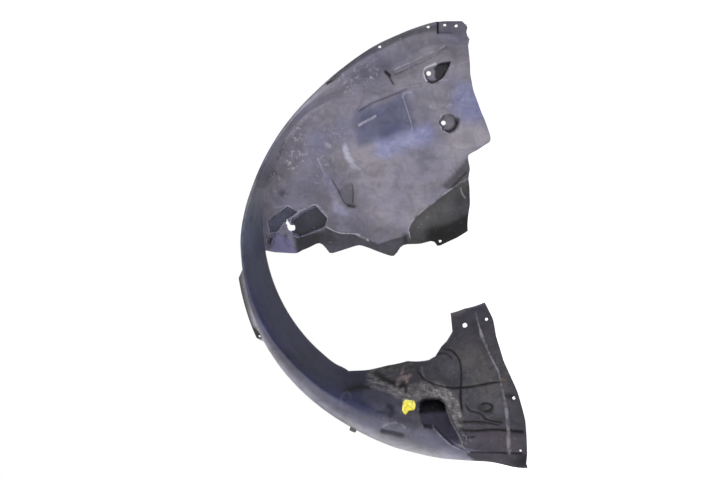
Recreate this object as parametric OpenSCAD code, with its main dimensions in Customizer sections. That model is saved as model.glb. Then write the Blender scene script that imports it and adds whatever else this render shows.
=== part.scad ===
// Front wheel arch liner of a passenger car, moulded in one sheet, with one
// yellow push-in clip left in it. X points forward, Z up, and the wheel side
// faces -Y. The origin is the centre of the lower screw seat in the front panel.

/* [Arch] */
// Radius of the crest that runs round the wheel opening
arch_r = 350; // [335:5:365]
// Distance along the axle from the crest to the inboard edge
arch_depth = 190; // [175:5:205]
// Wall thickness of the moulded sheet
sheet_t = 2.6; // [2.2:0.2:3.4]
// Slope of the front panel against the wheel plane, in degrees
panel_slope = 14; // [12:1:16]

/* [Screw seats] */
// Diameter of the holes in the two screw seats of the front panel
seat_hole_d = 8.5; // [6:0.5:10]
// Depth of the upper screw seat below the panel
upper_seat_depth = 13; // [8:1:18]
// Depth of the lower screw seat below the panel
lower_seat_depth = 16; // [8:1:20]

/* [Edge holes] */
// Diameter of the small holes along the front flange
flange_hole_d = 5.5; // [4:0.5:7]
// Diameter of the large hole in the rear tab
tab_hole_d = 9; // [6:0.5:12]
// Diameter of the small holes at the edges of the rear panel
edge_hole_d = 6; // [4:0.5:7]

/* [Deep pocket] */
// Depth of the double pocket beside the roof
pocket_depth = 30; // [20:2:36]
// Diameter of the round end of its keyhole
keyhole_d = 12; // [8:1:14]

/* [Drain recess] */
// Depth of the drain recess above the rear crest
drain_depth = 22; // [14:2:26]

/* [Ribs] */
// Height of the ribs on the front panel
rib_h = 3; // [2:0.5:4]
// Width of the ribs on the front panel
rib_w = 7; // [5:1:9]

/* [Clip] */
// Width of the yellow clip
clip_w = 22; // [18:1:26]
// Length of the yellow clip
clip_l = 28; // [24:1:32]
// Thickness of its plate
clip_t = 2.4; // [2:0.2:3]
// Gap left between the clip's stem and its slot
clip_gap = 0.4; // [0.2:0.1:0.6]

/* [Hidden] */

// Everything is drawn with the axle along Z, the wheel side up and the
// inboard edge at height 0. The car frame comes at the end.

// Places in the plane are given for this arch radius, and move outwards or
// inwards with the real one
drawn_r = 350;
function place(p) = p * (1 + (arch_r - drawn_r) / norm(p));
function places(list) = [for (p = list) place(p)];
below = -60;
through = 300;

// Cross-sections round the axle. Each row has the angle, how far the outer
// edge and the crest lie outside the arch radius, how far the foot of the
// roof lies inside it, how far the crest lies below the arch depth, and how
// far the outer edge lies below the crest.
SECTIONS = [
    [ 76,  18, -9,   25, 88,  2],
    [ 84,  14, -9,   25, 88,  2],
    [ 90,  11, -9,   27, 88,  2],
    [ 96,   3, -11,  35, 88,  2],
    [102,  -5, -13,  48, 88,  2],
    [108, -11, -17,  58, 88,  2],
    [120, -23, -28,  60, 84,  2],
    [131, -29, -35,  52, 74,  3],
    [140, -30, -34,  38, 60,  4],
    [152, -28, -31,  30, 39,  5],
    [160, -25, -28,  28, 25,  6],
    [168, -20, -23,  26, 15,  7],
    [176, -13, -16,  25,  7,  8],
    [184,  -6, -8,   25,  2, 10],
    [190,  -3, -5,   25,  0, 12],
    [202,   6,  0,   25,  0, 16],
    [214,  17,  1,   25,  0, 24],
    [228,  26,  0,   25,  0, 32],
    [237,  31,  0,   27,  0, 34],
    [245,  36,  0,   48,  0, 36],
    [252,  42,  0,   70,  0, 38],
    [259,  49,  1,   95,  0, 40],
    [265,  54,  3,  120,  0, 40],
    [270,  59, 14,  142,  0, 36],
    [276,  65, 38,  166,  0, 30],
    [282,  73, 54,  180,  0, 20],
    [290,  98, 75,  183,  0, 10],
    [296, 111, 92,  185,  0,  6]
];
// How far the trimmed inboard edge lies inside the arch radius
TRIM = [
    [237, 27], [239.5, 30], [245.5, 48], [251.5, 68], [258.5, 88], [267, 100], [269.2, 106],
    [271.3, 122], [273, 130], [275.2, 146], [275.6, 178], [281.5, 181], [290, 176]
];
// The rear end fans out by these angles at these radii
FAN = [[175, 12], [205, 11], [234, 8], [276, 6], [330, 5.5], [375, 4], [440, 0]];
fan_from = 268;

// Front edge of the panel from the top down, then the foot of the panel from
// the roof to the lower front corner
FRONT_EDGE = places([
    [57, 305], [59, 288], [60, 271], [63, 257], [66, 243], [73, 225], [80, 207], [86, 194], [91, 182],
    [98, 163], [99, 155], [97, 150], [88, 144], [74, 135], [60, 127], [59, 118], [62, 102], [60, 85],
    [62, 69], [63, 54], [64, 36], [62, 18], [61, 1], [62, -14]
]);
FOOT_EDGE = places([
    [-304, -54], [-290, -55], [-261, -56], [-255, -52], [-238, -45], [-221, -37], [-211, -41], [-200, -55],
    [-195, -56], [-172, -49], [-150, -42], [-141, -41], [-125, -46], [-110, -52], [-87, -60], [-79, -61],
    [-74, -58], [-70, -50], [-64, -43], [-54, -39], [-29, -38], [-8, -33], [-1, -35], [3, -41], [7, -43],
    [13, -40], [28, -33], [43, -26], [62, -14]
]);

// Angles of the cross-sections, of which the first ones carry the panel
front_from = 80.25;
front_to = 189;
PANEL_ROWS = len(FRONT_EDGE);
ANGLES = concat(
    [for (i = [0 : PANEL_ROWS - 1]) front_from + (front_to - front_from) * i / (PANEL_ROWS - 1)],
    [192, 194.5, 197, 201, 205, 209, 212, 214.5, 219, 224, 229, 233, 237, 239.5, 242.5, 245.5, 248.5,
     251.5, 255, 258.5, 261, 263, 265, 267, 269.2, 271.3, 273, 275.2, 275.6, 277.5, 279.5, 281.5,
     283.5, 285.5, 287.7, 290]
);

function row(a, i = 0) =
    i >= len(SECTIONS) - 2 || a < SECTIONS[i + 1][0] ? i : row(a, i + 1);
function slope_at(i, c) =
    let (lo = max(i - 1, 0), hi = min(i + 1, len(SECTIONS) - 1))
    (SECTIONS[hi][c] - SECTIONS[lo][c]) / (SECTIONS[hi][0] - SECTIONS[lo][0]);
// Smooth value of one column at angle a
function along(a, c) =
    let (i = row(a), p = SECTIONS[i], q = SECTIONS[i + 1], h = q[0] - p[0], t = (a - p[0]) / h)
    (2 * t * t * t - 3 * t * t + 1) * p[c] + (t * t * t - 2 * t * t + t) * h * slope_at(i, c)
    + (3 * t * t - 2 * t * t * t) * q[c] + (t * t * t - t * t) * h * slope_at(i + 1, c);

function edge_r(a) = arch_r + along(a, 1);
function crest_r(a) = arch_r + along(a, 2);
function rim_r(a) = arch_r - along(a, 3);
function crest_z(a) = arch_depth - along(a, 4);
function edge_z(a) = crest_z(a) - along(a, 5);
function trim_r(a) = a < TRIM[0][0] ? rim_r(a) : arch_r - lookup(a, TRIM);
function fan(a, r) =
    a + lookup(r - arch_r + drawn_r, FAN) * max(a - fan_from, 0) / (ANGLES[len(ANGLES) - 1] - fan_from);
function soft(t) = let (c = min(max(t, 0), 1)) c * c * (3 - 2 * c);
function turn(a, r, z) = [r * cos(fan(a, r)), r * sin(fan(a, r)), z];

// The front panel rises from its foot with a constant slope, and its lower
// front corner is folded back along the line from flap_a to flap_b
panel_foot = -45;
panel_rise = tan(panel_slope);
flap_a = place([60, 82]);
flap_b = place([-52, -19]);
flap_fall = 0.45;
flap_round = 24;
function flap_side(p) =
    let (d = flap_b - flap_a) (d[0] * (p[1] - flap_a[1]) - d[1] * (p[0] - flap_a[0])) / norm(d);
function fold(d) = d <= 0 ? 0 : d < flap_round ? d * d / (2 * flap_round) : d - flap_round / 2;
function plane_z(y) = panel_rise * max(y - panel_foot, 0);
function panel_z(p) = plane_z(p[1]) - flap_fall * fold(flap_side(p)) * soft((p[1] + 110) / 40);

// Stations of one section, from the outer edge over the crest and down the
// roof to its trimmed edge, evenly spaced in radius
LIP_STEPS = 4;
ROOF_STEPS = 9;
hem_w = 1.5;
fender_tab_w = 8.5;
fender_tab_from = 193;
fender_tab_to = 214;
function hem(a) = hem_w + fender_tab_w * soft((a - fender_tab_from) / 2) * soft((fender_tab_to - a) / 2);
function lip_point(a, i) =
    let (w = 90 * i / LIP_STEPS)
    turn(a, crest_r(a) + (edge_r(a) - crest_r(a)) * cos(w), edge_z(a) + (crest_z(a) - edge_z(a)) * sin(w));
// The roof leaves the crest with a round shoulder, and where it splays out
// towards the rear it becomes straight
function shoulder(a) = 2 - soft((crest_r(a) - rim_r(a) - 80) / 110);
drain_from = 262.5;
drain_to = 274;
drain_inner = 45;
drain_outer = 2;
drain_wall = 10;
function drain_mask(a, r) =
    soft((a - drain_from) / 2) * soft((drain_to - a) / 2)
    * soft((r - arch_r + drain_inner) / drain_wall) * soft((arch_r + drain_outer - r) / drain_wall);
function roof_point(a, t) =
    let (
        r = crest_r(a) + (trim_r(a) - crest_r(a)) * t,
        s = pow((crest_r(a) - r) / (crest_r(a) - rim_r(a)), shoulder(a)),
        foot_z = a > front_to ? 0 : panel_z(turn(a, rim_r(a), 0))
    )
    turn(a, r, crest_z(a) + (foot_z - crest_z(a)) * s - drain_depth * drain_mask(a, r));
function roof_section(a) = concat(
    [turn(a, edge_r(a) + hem(a), edge_z(a) - 1)],
    [for (i = [0 : LIP_STEPS]) lip_point(a, i)],
    [for (i = [1 : ROOF_STEPS]) roof_point(a, i / ROOF_STEPS)]
);

// The panel fills the space between the roof, the front edge and the foot
function rim_point(i) = let (p = turn(ANGLES[i], rim_r(ANGLES[i]), 0)) [p[0], p[1]];
rim_foot = rim_point(PANEL_ROWS - 1);
corner_foot = FRONT_EDGE[PANEL_ROWS - 1];
function panel_point(i, j) =
    let (
        t = i / (PANEL_ROWS - 1),
        s = (FOOT_EDGE[j][0] - rim_foot[0]) / (corner_foot[0] - rim_foot[0]),
        p = (1 - s) * rim_point(i) + s * FRONT_EDGE[i]
            + t * (FOOT_EDGE[j] - (1 - s) * rim_foot - s * corner_foot)
    )
    [p[0], p[1], panel_z(p)];

ROWS = [for (i = [0 : len(ANGLES) - 1])
    i < PANEL_ROWS
        ? concat(roof_section(ANGLES[i]), [for (j = [0 : len(FOOT_EDGE) - 1]) panel_point(i, j)])
        : roof_section(ANGLES[i])];
ROOF_END = 1 + LIP_STEPS + ROOF_STEPS;
PANEL_END = ROOF_END + len(FOOT_EDGE);
LAST = len(ANGLES) - 1;
// Number of the first point of row i in the list of all points
function first(i) =
    i <= PANEL_ROWS ? i * (PANEL_END + 1) : PANEL_ROWS * (PANEL_END + 1) + (i - PANEL_ROWS) * (ROOF_END + 1);
function reach(i) = i < PANEL_ROWS ? PANEL_END : ROOF_END;
function unit(v) = v / norm(v);
function normal(i, j) =
    let (
        hi = i < LAST && j <= reach(i + 1) ? i + 1 : i,
        lo = max(i - 1, 0)
    )
    unit(cross(ROWS[hi][j] - ROWS[lo][j], ROWS[i][min(j + 1, reach(i))] - ROWS[i][max(j - 1, 0)]));
// Two triangles for the cell between corners p, q, r and s
function quad(p, q, r, s) = [[p, r, q], [p, s, r]];

// The moulded sheet with its trimmed outline
module formed_sheet() {
    front = [for (i = [0 : LAST]) for (j = [0 : reach(i)]) ROWS[i][j]];
    back = [for (i = [0 : LAST]) for (j = [0 : reach(i)]) ROWS[i][j] - sheet_t * normal(i, j)];
    n = len(front);
    function at(i, j) = first(i) + j;
    // A wall between front and back along the edge from p to q
    function wall(p, q) = quad(p, n + p, n + q, q);
    // Corners of every cell of the front face, in order
    cells = [for (i = [0 : LAST - 1]) for (j = [0 : reach(i + 1) - 1])
        [at(i, j), at(i + 1, j), at(i + 1, j + 1), at(i, j + 1)]];
    faces = concat(
        [for (c = cells) quad(c[0], c[1], c[2], c[3])],
        [for (c = cells) quad(n + c[0], n + c[3], n + c[2], n + c[1])],
        [for (i = [0 : LAST - 1]) wall(at(i, 0), at(i + 1, 0))],
        [for (i = [0 : PANEL_ROWS - 2]) wall(at(i + 1, PANEL_END), at(i, PANEL_END))],
        [for (i = [PANEL_ROWS - 1 : LAST - 1]) wall(at(i + 1, ROOF_END), at(i, ROOF_END))],
        [for (j = [0 : PANEL_END - 1]) wall(at(0, j + 1), at(0, j))],
        [for (j = [ROOF_END : PANEL_END - 1]) wall(at(PANEL_ROWS - 1, j), at(PANEL_ROWS - 1, j + 1))],
        [for (j = [0 : ROOF_END - 1]) wall(at(LAST, j), at(LAST, j + 1))]
    );
    polyhedron(concat(front, back), [for (pair = faces) for (face = pair) face], convexity = 8);
}

// Everything behind the middle of the panel's sheet
module behind_panel() {
    translate([0, panel_foot, 0]) rotate([panel_slope, 0, 0])
        translate([-2 * arch_r, -arch_r, -through - sheet_t / 2]) cube([3 * arch_r, 3 * arch_r, through]);
}

// A screw seat is a recess with a flat floor, a round land about its hole and
// walls that open towards the wheel. Each outline is that of its mouth.
LOWER_SEAT = place([13, 186]);
UPPER_SEAT = place([-15, 274]);
LOWER_MOUTH = places([[8, 192], [10, 199], [22, 202], [31, 198], [40, 185], [33, 173], [22, 167], [10, 174]]);
UPPER_MOUTH = places([
    [-23, 271], [-19, 281], [-11, 284], [-4, 285], [8, 290], [24, 292], [21, 283], [16, 276], [14, 266],
    [2, 259], [-9, 256], [-18, 258]
]);
seat_land_r = 8.5;
seat_draft = 1.15;
seat_lift = 8;
function floor_z(p, depth) = plane_z(p[1]) - depth;
module seat_form(p, mouth, depth, grow) {
    translate([p[0], p[1], floor_z(p, depth) - grow])
        linear_extrude(depth + grow + seat_lift, scale = seat_draft) offset(delta = grow) {
            polygon([for (q = mouth) (q - p) / seat_draft]);
            circle(r = seat_land_r, $fn = 32);
        }
}
module seat_shells() {
    intersection() {
        union() {
            seat_form(UPPER_SEAT, UPPER_MOUTH, upper_seat_depth, sheet_t);
            seat_form(LOWER_SEAT, LOWER_MOUTH, lower_seat_depth, sheet_t);
        }
        behind_panel();
    }
}
module seat_cuts() {
    seat_form(UPPER_SEAT, UPPER_MOUTH, upper_seat_depth, 0);
    seat_form(LOWER_SEAT, LOWER_MOUTH, lower_seat_depth, 0);
    for (p = [UPPER_SEAT, LOWER_SEAT])
        translate([p[0], p[1], below]) cylinder(h = through, d = seat_hole_d, $fn = 48);
}

// The deep double pocket beside the roof, with a keyhole between its halves
POCKET_A = places([[-316, 6], [-305, 14], [-277, 33], [-258, 22], [-285, 3], [-296, -15], [-312, -18]]);
POCKET_B = places([
    [-272, 7], [-251, 23], [-225, 35], [-202, 10], [-207, -5], [-217, -11], [-257, -27], [-270, -19]
]);
KEYHOLE = place([-272, -8]);
KEYHOLE_STEM = place([-281, 5]);
pocket_floor_z = plane_z(6) - pocket_depth;
module pocket_outline(grow) {
    offset(delta = grow) polygon(POCKET_A);
    offset(delta = grow) polygon(POCKET_B);
}
module pocket_shells() {
    intersection() {
        translate([0, 0, pocket_floor_z - sheet_t]) linear_extrude(through) pocket_outline(sheet_t);
        behind_panel();
    }
}
module pocket_cuts() {
    translate([0, 0, pocket_floor_z]) linear_extrude(through) {
        polygon(POCKET_A);
        polygon(POCKET_B);
    }
    stem = KEYHOLE_STEM - KEYHOLE;
    translate([KEYHOLE[0], KEYHOLE[1], below]) {
        cylinder(h = through, d = keyhole_d, $fn = 32);
        rotate([0, 0, atan2(stem[1], stem[0])])
            translate([0, -keyhole_d / 4, 0]) cube([norm(stem), keyhole_d / 2, through]);
    }
}

// Raised ribs that lie on the panel
RIBS = [
    places([[-78, 274], [13, 317]]),
    places([[-141, 209], [-57, 251]]),
    places([[-57, 251], [-31, 252]])
];
function stadium(length, w) = concat(
    [for (a = [90 : 30 : 270]) [w / 2 * cos(a), w / 2 * sin(a)]],
    [for (a = [-90 : 30 : 90]) [length + w / 2 * cos(a), w / 2 * sin(a)]]
);
function on_plane(p) = [p[0], (p[1] - panel_foot) / cos(panel_slope)];
module ribs() {
    translate([0, panel_foot, 0]) rotate([panel_slope, 0, 0]) for (r = RIBS) {
        run = on_plane(r[1]) - on_plane(r[0]);
        translate([on_plane(r[0])[0], on_plane(r[0])[1], -sheet_t / 2])
            rotate([0, 0, atan2(run[1], run[0])])
                linear_extrude(rib_h + sheet_t / 2) polygon(stadium(norm(run), rib_w));
    }
}

// Holes near the edges
FLANGE_HOLES = places([[-104, 318], [-17, 353], [13, 357], [33, 355]]);
TAB_HOLE = place([54, -189]);
EDGE_HOLES = places([[94, -177], [135, -308]]);
SMALL_HOLES = places([[10, -34], [141, -390], [-313, -196]]);
small_hole_d = 4;
module drill(p, d) {
    translate([p[0], p[1], below]) cylinder(h = through, d = d, $fn = 24);
}
module edge_holes() {
    for (p = FLANGE_HOLES) drill(p, flange_hole_d);
    drill(TAB_HOLE, tab_hole_d);
    for (p = EDGE_HOLES) drill(p, edge_hole_d);
    for (p = SMALL_HOLES) drill(p, small_hole_d);
}

// The front tab is split from the flange by a slot and has a clipped corner
SPLIT = place([-1.5, 341]);
split_w = 3;
TAB_CORNER = places([
    [41, 385], [41, 367], [49, 358], [53, 352], [51, 344], [53, 336], [58, 329], [56, 321], [90, 300],
    [90, 385]
]);
// Drain slot between the roof and the foot of the panel
CORNER_SLOT = places([[-317, -24], [-304, -27], [-311, -41], [-318, -38]]);
module edge_cuts() {
    translate([SPLIT[0] - split_w / 2, SPLIT[1], below]) cube([split_w, arch_r, through]);
    translate([0, 0, below]) linear_extrude(through) {
        polygon(TAB_CORNER);
        polygon(CORNER_SLOT);
    }
}

// Short tab under the outer edge, near the rear
short_tab_a = 247.5;
short_tab_w = 12;
short_tab_reach = 7;
module short_tab() {
    rotate([0, 0, short_tab_a])
        translate([edge_r(short_tab_a) - sheet_t / 2, -short_tab_w / 2, edge_z(short_tab_a) - 1])
            cube([short_tab_reach + sheet_t / 2, short_tab_w, sheet_t]);
}

// The clip sits on a formed boss that leans less than the roof below it
clip_a = 260.7;
clip_r = arch_r - 27;
clip_drop = 0.0753 * arch_depth;
clip_lean = atan(arch_depth / 243);
stem_w = 8;
boss_edge = 3;
boss_low = 6;
boss_high = 15;
module at_clip() {
    translate([clip_r * cos(clip_a), clip_r * sin(clip_a), arch_depth - clip_drop])
        rotate([0, 0, clip_a - 90]) rotate([clip_lean, 0, 0]) children();
}
// Prism across the clip from a side profile
module across(w) {
    rotate([90, 0, 90]) translate([0, 0, -w / 2]) linear_extrude(w) children();
}
module boss_shell() {
    l = clip_l / 2 + boss_edge;
    at_clip() across(clip_w + 2 * boss_edge) polygon([[-l, 0], [l, 0], [l, -boss_low], [-l, -boss_high]]);
}
module boss_cuts() {
    l = clip_l / 2 + boss_edge - sheet_t;
    at_clip() {
        across(clip_w + 2 * boss_edge - 2 * sheet_t)
            polygon([[-l, -sheet_t], [l, -sheet_t], [l, -boss_high - 3], [-l, -boss_high - 3]]);
        translate([-stem_w / 2 - clip_gap, -stem_w / 2 - clip_gap, -boss_high])
            cube([stem_w + 2 * clip_gap, stem_w + 2 * clip_gap, 2 * boss_high]);
    }
}

module liner_drawn() {
    difference() {
        union() {
            formed_sheet();
            seat_shells();
            pocket_shells();
            ribs();
            short_tab();
            boss_shell();
        }
        seat_cuts();
        pocket_cuts();
        edge_holes();
        edge_cuts();
        boss_cuts();
    }
}

// From the drawing to the car frame, with the lower seat's hole at the origin
module in_car() {
    rotate([90, 90, 0])
        translate([-LOWER_SEAT[0], -LOWER_SEAT[1], -floor_z(LOWER_SEAT, lower_seat_depth)]) children();
}

module liner() {
    color([0.30, 0.29, 0.34]) in_car() liner_drawn();
}

// The clip has a plate with two lobes, a raised hub and a barbed stem
hub_d = 12;
hub_h = 2.5;
lobe_hole_d = 2.4;
barb_w = 3;
barb_l = 6;
module clip_drawn() {
    w = clip_w / 2;
    l = clip_l / 2;
    difference() {
        union() {
            linear_extrude(clip_t) polygon([
                [-w, -l / 2], [-w + 3, -l], [w - 4, -l], [w, -l + 5], [w, l / 2], [w - 4, l - 1],
                [w - 8, l], [0, l / 2], [-3, l / 3], [-w + 2, l / 4], [-w, 0]
            ]);
            translate([0, -3, 0]) cylinder(h = clip_t + hub_h, d = hub_d, $fn = 32);
            // The stem passes through the boss and its barbs lock behind it
            translate([-stem_w / 2, -stem_w / 2, -sheet_t - barb_l])
                cube([stem_w, stem_w, sheet_t + barb_l + 1]);
            translate([0, 0, -sheet_t - clip_gap]) across(stem_w - 1) polygon([
                [-stem_w / 2, 0], [-stem_w / 2 - barb_w, -1], [-stem_w / 2, -barb_l + 1],
                [stem_w / 2, -barb_l + 1], [stem_w / 2 + barb_w, -1], [stem_w / 2, 0]
            ]);
        }
        translate([w - 5, l / 2, -1]) cylinder(h = clip_t + 2, d = lobe_hole_d, $fn = 20);
        translate([0, -3, clip_t]) cylinder(h = hub_h + 1, d = hub_d / 2, $fn = 32);
    }
}
module clip() {
    color([0.95, 0.9, 0.2]) in_car() at_clip() clip_drawn();
}

liner();
clip();
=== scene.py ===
"""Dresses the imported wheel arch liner: the moulded sheet, its clip, the stage, lights and camera.

The sheet is worked out in the drawing frame, in millimetres: x runs to the photograph's right, y up
and z towards the camera, with the wheel's axle at x = y = 0. Liner.to_row turns it into the row's
frame.
"""

import logging
import math
from collections.abc import Iterable
from dataclasses import dataclass, field
from enum import Enum, IntEnum

import bmesh
import bpy
import numpy as np
from mathutils import Matrix, Vector


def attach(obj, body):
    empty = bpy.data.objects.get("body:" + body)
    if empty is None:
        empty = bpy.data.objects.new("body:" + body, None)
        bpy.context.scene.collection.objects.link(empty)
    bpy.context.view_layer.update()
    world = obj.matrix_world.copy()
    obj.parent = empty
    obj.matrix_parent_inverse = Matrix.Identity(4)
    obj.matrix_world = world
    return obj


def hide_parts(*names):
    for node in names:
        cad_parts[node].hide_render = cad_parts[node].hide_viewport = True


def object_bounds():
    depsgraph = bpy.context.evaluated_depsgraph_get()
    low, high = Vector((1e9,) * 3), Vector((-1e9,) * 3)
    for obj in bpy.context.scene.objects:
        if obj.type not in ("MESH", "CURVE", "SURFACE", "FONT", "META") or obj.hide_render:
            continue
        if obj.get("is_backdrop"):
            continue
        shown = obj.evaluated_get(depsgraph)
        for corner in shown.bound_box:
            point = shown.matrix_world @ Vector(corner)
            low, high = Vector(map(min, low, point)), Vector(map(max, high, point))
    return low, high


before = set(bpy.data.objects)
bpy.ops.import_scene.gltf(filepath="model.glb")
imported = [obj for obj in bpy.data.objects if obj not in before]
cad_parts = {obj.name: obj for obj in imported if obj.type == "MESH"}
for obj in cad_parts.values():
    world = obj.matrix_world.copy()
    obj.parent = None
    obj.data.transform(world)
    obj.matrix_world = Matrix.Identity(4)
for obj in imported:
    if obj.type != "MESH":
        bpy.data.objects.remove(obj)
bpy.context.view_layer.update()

log = logging.getLogger("liner")
MM = 0.001
# A distance beyond any on the sheet, and a length too small to divide by
FAR = 1e9
TINY = 1e-9

Colour = tuple[float, float, float]
Line = tuple[tuple[float, float], ...]


def soft(t: np.ndarray) -> np.ndarray:
    """Smooth step: 3 t squared minus 2 t cubed, with t held between 0 and 1."""
    c = np.clip(t, 0.0, 1.0)
    return c * c * (3.0 - 2.0 * c)


def ramp(value: np.ndarray, start: float | np.ndarray, over: float) -> np.ndarray:
    """Smooth step from 0 at start to 1 a given way past it."""
    return soft((value - start) / over)


def cubic(t: np.ndarray, p1: np.ndarray, m1: np.ndarray, p2: np.ndarray,
          m2: np.ndarray) -> np.ndarray:
    """Cubic from p1 at t = 0 to p2 at t = 1, with slopes m1 and m2 at its ends."""
    return ((2 * t**3 - 3 * t**2 + 1) * p1 + (t**3 - 2 * t**2 + t) * m1
            + (3 * t**2 - 2 * t**3) * p2 + (t**3 - t**2) * m2)


def spline(points: np.ndarray, at: np.ndarray) -> np.ndarray:
    """Curve through points, of cubics whose end slopes are half the step between the neighbours.

    Args:
        points: Array (n, k) of points.
        at: Places along the curve, from 0 to n - 1.

    Returns:
        Array (len(at), k) of points on the curve.
    """
    n = len(points)
    i = np.clip(np.floor(at).astype(int), 0, n - 2)
    p0, p1 = points[np.maximum(i - 1, 0)], points[i]
    p2, p3 = points[i + 1], points[np.minimum(i + 2, n - 1)]
    return cubic((at - i)[..., None], p1, (p2 - p0) / 2, p2, (p3 - p1) / 2)


def to_segment(x: np.ndarray, y: np.ndarray, p: np.ndarray,
               q: np.ndarray) -> tuple[np.ndarray, np.ndarray]:
    """Distance from the straight piece p to q, and the nearest point's place on it, from 0 to 1."""
    d = q - p
    t = np.clip(((x - p[0]) * d[0] + (y - p[1]) * d[1]) / max(d @ d, TINY), 0, 1)
    return np.hypot(x - p[0] - t * d[0], y - p[1] - t * d[1]), t


def lay(under: np.ndarray, colour: np.ndarray, share: np.ndarray) -> np.ndarray:
    """Lays a colour over another by a share."""
    return under + (colour - under) * share[:, None]


def linked(name: str, data: bpy.types.ID) -> bpy.types.Object:
    """A new object with that data, linked to the scene."""
    made = bpy.data.objects.new(name, data)
    bpy.context.collection.objects.link(made)
    return made


# Plane figures, each with a signed distance that is negative inside


@dataclass(frozen=True)
class Disc:
    """A round figure."""

    centre: tuple[float, float]
    radius: float

    def distance(self, x: np.ndarray, y: np.ndarray) -> np.ndarray:
        """Distance from the centre less the radius."""
        return np.hypot(x - self.centre[0], y - self.centre[1]) - self.radius


@dataclass(frozen=True)
class Path:
    """A smooth line through a few points, with a half width."""

    points: Line
    half_width: float = 0.0
    straight: bool = False
    # A curved line is cut into pieces about this long, between no fewer than so many points
    step: float = 5.0
    least_count: int = 4

    def along(self, x: np.ndarray, y: np.ndarray) -> tuple[np.ndarray, np.ndarray]:
        """Nearest point of the line, found on short straight pieces of it.

        Args:
            x: First coordinates.
            y: Second coordinates.

        Returns:
            The distance from the line, and how far along it the nearest point lies, from 0 to 1.
        """
        line = np.asarray(self.points, float)
        if not self.straight and len(line) > 2:
            length = np.hypot(*np.diff(line, axis=0).T).sum()
            count = max(int(length / self.step), self.least_count)
            line = spline(line, np.linspace(0, len(line) - 1, count))
        ends = np.r_[0.0, np.cumsum(np.hypot(*np.diff(line, axis=0).T))]
        best = np.full(np.shape(x), FAR)
        place = np.zeros(np.shape(x))
        for p, q, s0, s1 in zip(line[:-1], line[1:], ends[:-1], ends[1:]):
            gap, t = to_segment(x, y, p, q)
            near = gap < best
            best = np.where(near, gap, best)
            place = np.where(near, (s0 + t * (s1 - s0)) / ends[-1], place)
        return best, place

    def distance(self, x: np.ndarray, y: np.ndarray) -> np.ndarray:
        """Distance from the line less the half width."""
        return self.along(x, y)[0] - self.half_width


@dataclass(frozen=True)
class Outline:
    """A closed figure with straight sides."""

    points: Line

    def distance(self, x: np.ndarray, y: np.ndarray) -> np.ndarray:
        """Distance from the nearest side, under 0 where a ray crosses an odd number of sides."""
        corners = np.asarray(self.points, float)
        best = np.full(np.shape(x), FAR)
        inside = np.zeros(np.shape(x), bool)
        for p, q in zip(corners, np.roll(corners, -1, axis=0)):
            best = np.minimum(best, to_segment(x, y, p, q)[0])
            run, rise = q - p
            rises = (p[1] > y) != (q[1] > y)
            cross = p[0] + (y - p[1]) * run / (rise if abs(rise) > TINY else TINY)
            inside ^= rises & (x < cross)
        return np.where(inside, -best, best)


@dataclass(frozen=True)
class Union:
    """Several figures taken as one."""

    parts: tuple[Disc | Path | Outline, ...]

    def distance(self, x: np.ndarray, y: np.ndarray) -> np.ndarray:
        """The least of the parts' distances."""
        return np.min([p.distance(x, y) for p in self.parts], axis=0)


@dataclass(frozen=True)
class Inset:
    """A figure shrunk by some distance."""

    whole: Disc | Path | Outline | Union
    by: float

    def distance(self, x: np.ndarray, y: np.ndarray) -> np.ndarray:
        """The whole figure's distance and the shrinkage."""
        return self.whole.distance(x, y) + self.by


Figure = Disc | Path | Outline | Union | Inset


def cover(figure: Figure, share: float, border: float, x: np.ndarray, y: np.ndarray) -> np.ndarray:
    """Share times a smooth step that is full in the figure and ends one border outside it."""
    return share * (1 - soft(figure.distance(x, y) / border))


class Section(IntEnum):
    """Columns of the arch's table of sections."""

    ANGLE = 0
    EDGE_OUT = 1
    CREST_OUT = 2
    RIM_IN = 3
    CREST_DROP = 4
    EDGE_DROP = 5


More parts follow.
